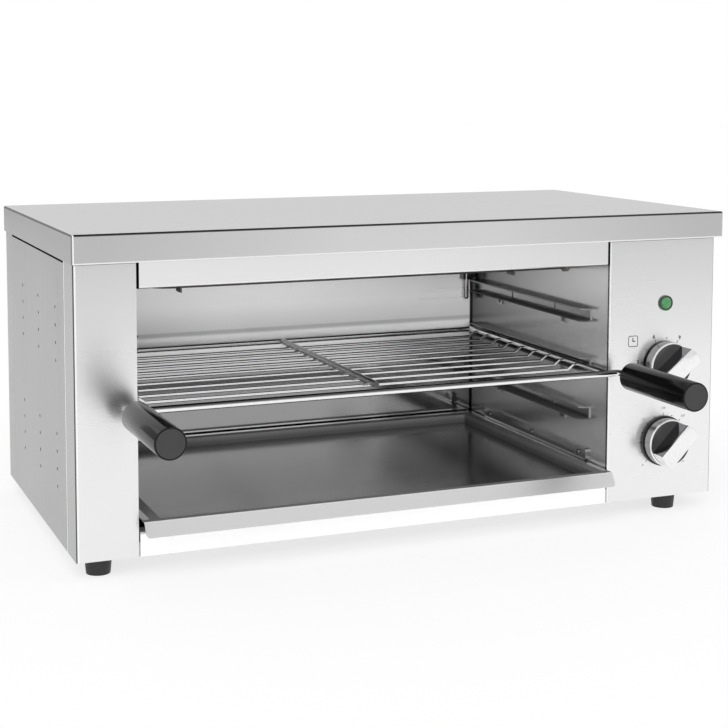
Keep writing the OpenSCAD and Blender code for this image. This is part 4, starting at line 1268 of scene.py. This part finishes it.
@dataclass
class Studio:
    """The floor, the lamps, the world, the cards and the camera."""

    floor_size: float = 12.0
    floor_tone: Colour = grey(0.96)
    floor_roughness: float = 0.9
    floor_glow: float = 0.7
    sky_light: float = 0.7
    roof_height: float = 2.2
    roof_radius: float = 0.9
    roof_sides: int = 48
    roof_tone: float = 0.03
    cards: tuple[Card, ...] = (
        Card("card_right", 10.0, 60.0, 0.6),
        Card("card_back_right", 66.0, 46.0, 0.72),
        Card("card_back_left", 114.0, 46.0, 0.4),
        Card("card_left", 163.0, 44.0, 0.05),
        Card("card_front_left", 222.0, 66.0, 1.0),
        Card("card_front_right", 290.0, 62.0, 0.78, 1.0, 2.2),
    )
    camera_place: Triple = (-0.5539, -1.2791, 0.3979)
    camera_yaw: float = 21.51
    camera_pitch: float = 5.03
    sensor_w: float = 36.0
    lens: float = 75.6
    shift: Span = (0.0492, -0.2005)

    def lay_floor(self) -> None:
        """Lays a plain pale floor under the feet."""
        mesh = bmesh.new()
        bmesh.ops.create_grid(mesh, x_segments=1, y_segments=1, size=self.floor_size)
        shader = Shader("studio_floor_paint")
        shader.set("Base Color", self.floor_tone)
        shader.set("Roughness", self.floor_roughness)
        shader.set("Specular IOR Level", 0.0)
        rays = shader.add("LightPath", {}).outputs
        share = shader.both(shader.either(rays["Is Camera Ray"], rays["Is Glossy Ray"]), self.floor_glow)
        glow = shader.add("Emission", {}).outputs[0]
        mix = shader.add("MixShader", {0: share, 1: shader.surface.outputs[0], 2: glow})
        shader.feed(shader.tree.nodes["Material Output"].inputs["Surface"], mix.outputs[0])
        put_mesh("studio_floor", mesh, shader.material)

    def stand_cards(self) -> None:
        """Stands the cards round the object and hangs a dark one overhead, to draw the metal's edges."""
        for card in self.cards:
            card.stand()
        mesh = bmesh.new()
        place = Matrix.Translation((0.0, 0.0, self.roof_height))
        bmesh.ops.create_circle(
            mesh, cap_ends=True, segments=self.roof_sides, radius=self.roof_radius, matrix=place
        )
        stage_card("card_overhead", mesh, self.roof_tone)

    def light_world(self) -> None:
        """Fills the world with plain light, and shows it white to the camera and in reflections."""
        world = bpy.data.worlds.new("studio_world")
        bpy.context.scene.world = world
        world.use_nodes = True
        world.node_tree.nodes.clear()
        nodes = Nodes(world.node_tree)
        seen, lit = (
            nodes.add("Background", {"Color": grey(1.0), "Strength": strength}).outputs[0]
            for strength in (1.0, self.sky_light)
        )
        rays = nodes.add("LightPath", {}).outputs
        share = nodes.either(rays["Is Camera Ray"], rays["Is Glossy Ray"])
        share = nodes.either(share, rays["Is Transmission Ray"])
        mix = nodes.add("MixShader", {0: share, 1: lit, 2: seen})
        nodes.add("OutputWorld", {0: mix.outputs[0]})

    def hang_lamp(self, name: str, towards: Triple, strength: float, spread: float) -> None:
        """Hangs a broad soft lamp far away.

        Args:
            name: the lamp's name.
            towards: the way its light travels.
            strength: its strength.
            spread: its apparent width, in degrees.
        """
        lamp = bpy.data.lights.new(name, "SUN")
        lamp.energy = strength
        lamp.angle = math.radians(spread)
        hung = put(name, lamp)
        hung.visible_glossy = False
        hung.rotation_euler = Vector(towards).to_track_quat("-Z", "Y").to_euler()

    def place_camera(self) -> None:
        """Sets the camera at the usual catalogue angle, from the left and a little above."""
        data = bpy.data.cameras.new("studio_camera")
        data.sensor_width = self.sensor_w
        data.lens = self.lens
        data.shift_x, data.shift_y = self.shift
        camera = put("studio_camera", data)
        yaw, pitch = math.radians(self.camera_yaw), math.radians(self.camera_pitch)
        forward = Vector((math.sin(yaw) * math.cos(pitch), math.cos(yaw) * math.cos(pitch), -math.sin(pitch)))
        camera.location = self.camera_place
        camera.rotation_euler = forward.to_track_quat("-Z", "Y").to_euler()
        bpy.context.scene.camera = camera


def main() -> None:
    """Builds every sub-assembly in order."""
    logging.basicConfig(level=logging.INFO, format="%(name)s: %(message)s")
    bpy.context.scene.view_settings.view_transform = "Standard"
    casing = Casing()
    casing.dress_sheets()
    casing.dress_fittings()
    cavity = Cavity()
    cavity.dress_liner()
    cavity.dress_heaters()
    rack = Rack()
    rack.dress_wires()
    rack.build_handles()
    rack.build_welds()
    CrumbTray().dress_pan()
    controls = Controls()
    controls.dress_switches()
    controls.build_knobs()
    controls.print_scales()
    controls.print_clock()
    studio = Studio()
    studio.lay_floor()
    studio.light_world()
    studio.stand_cards()
    studio.hang_lamp("key_lamp", (0.35, 0.75, -0.9), 1.3, 50.0)
    studio.hang_lamp("fill_lamp", (0.3, 1.0, -0.03), 2.8, 30.0)
    studio.place_camera()


if __name__ == "__main__":
    main()
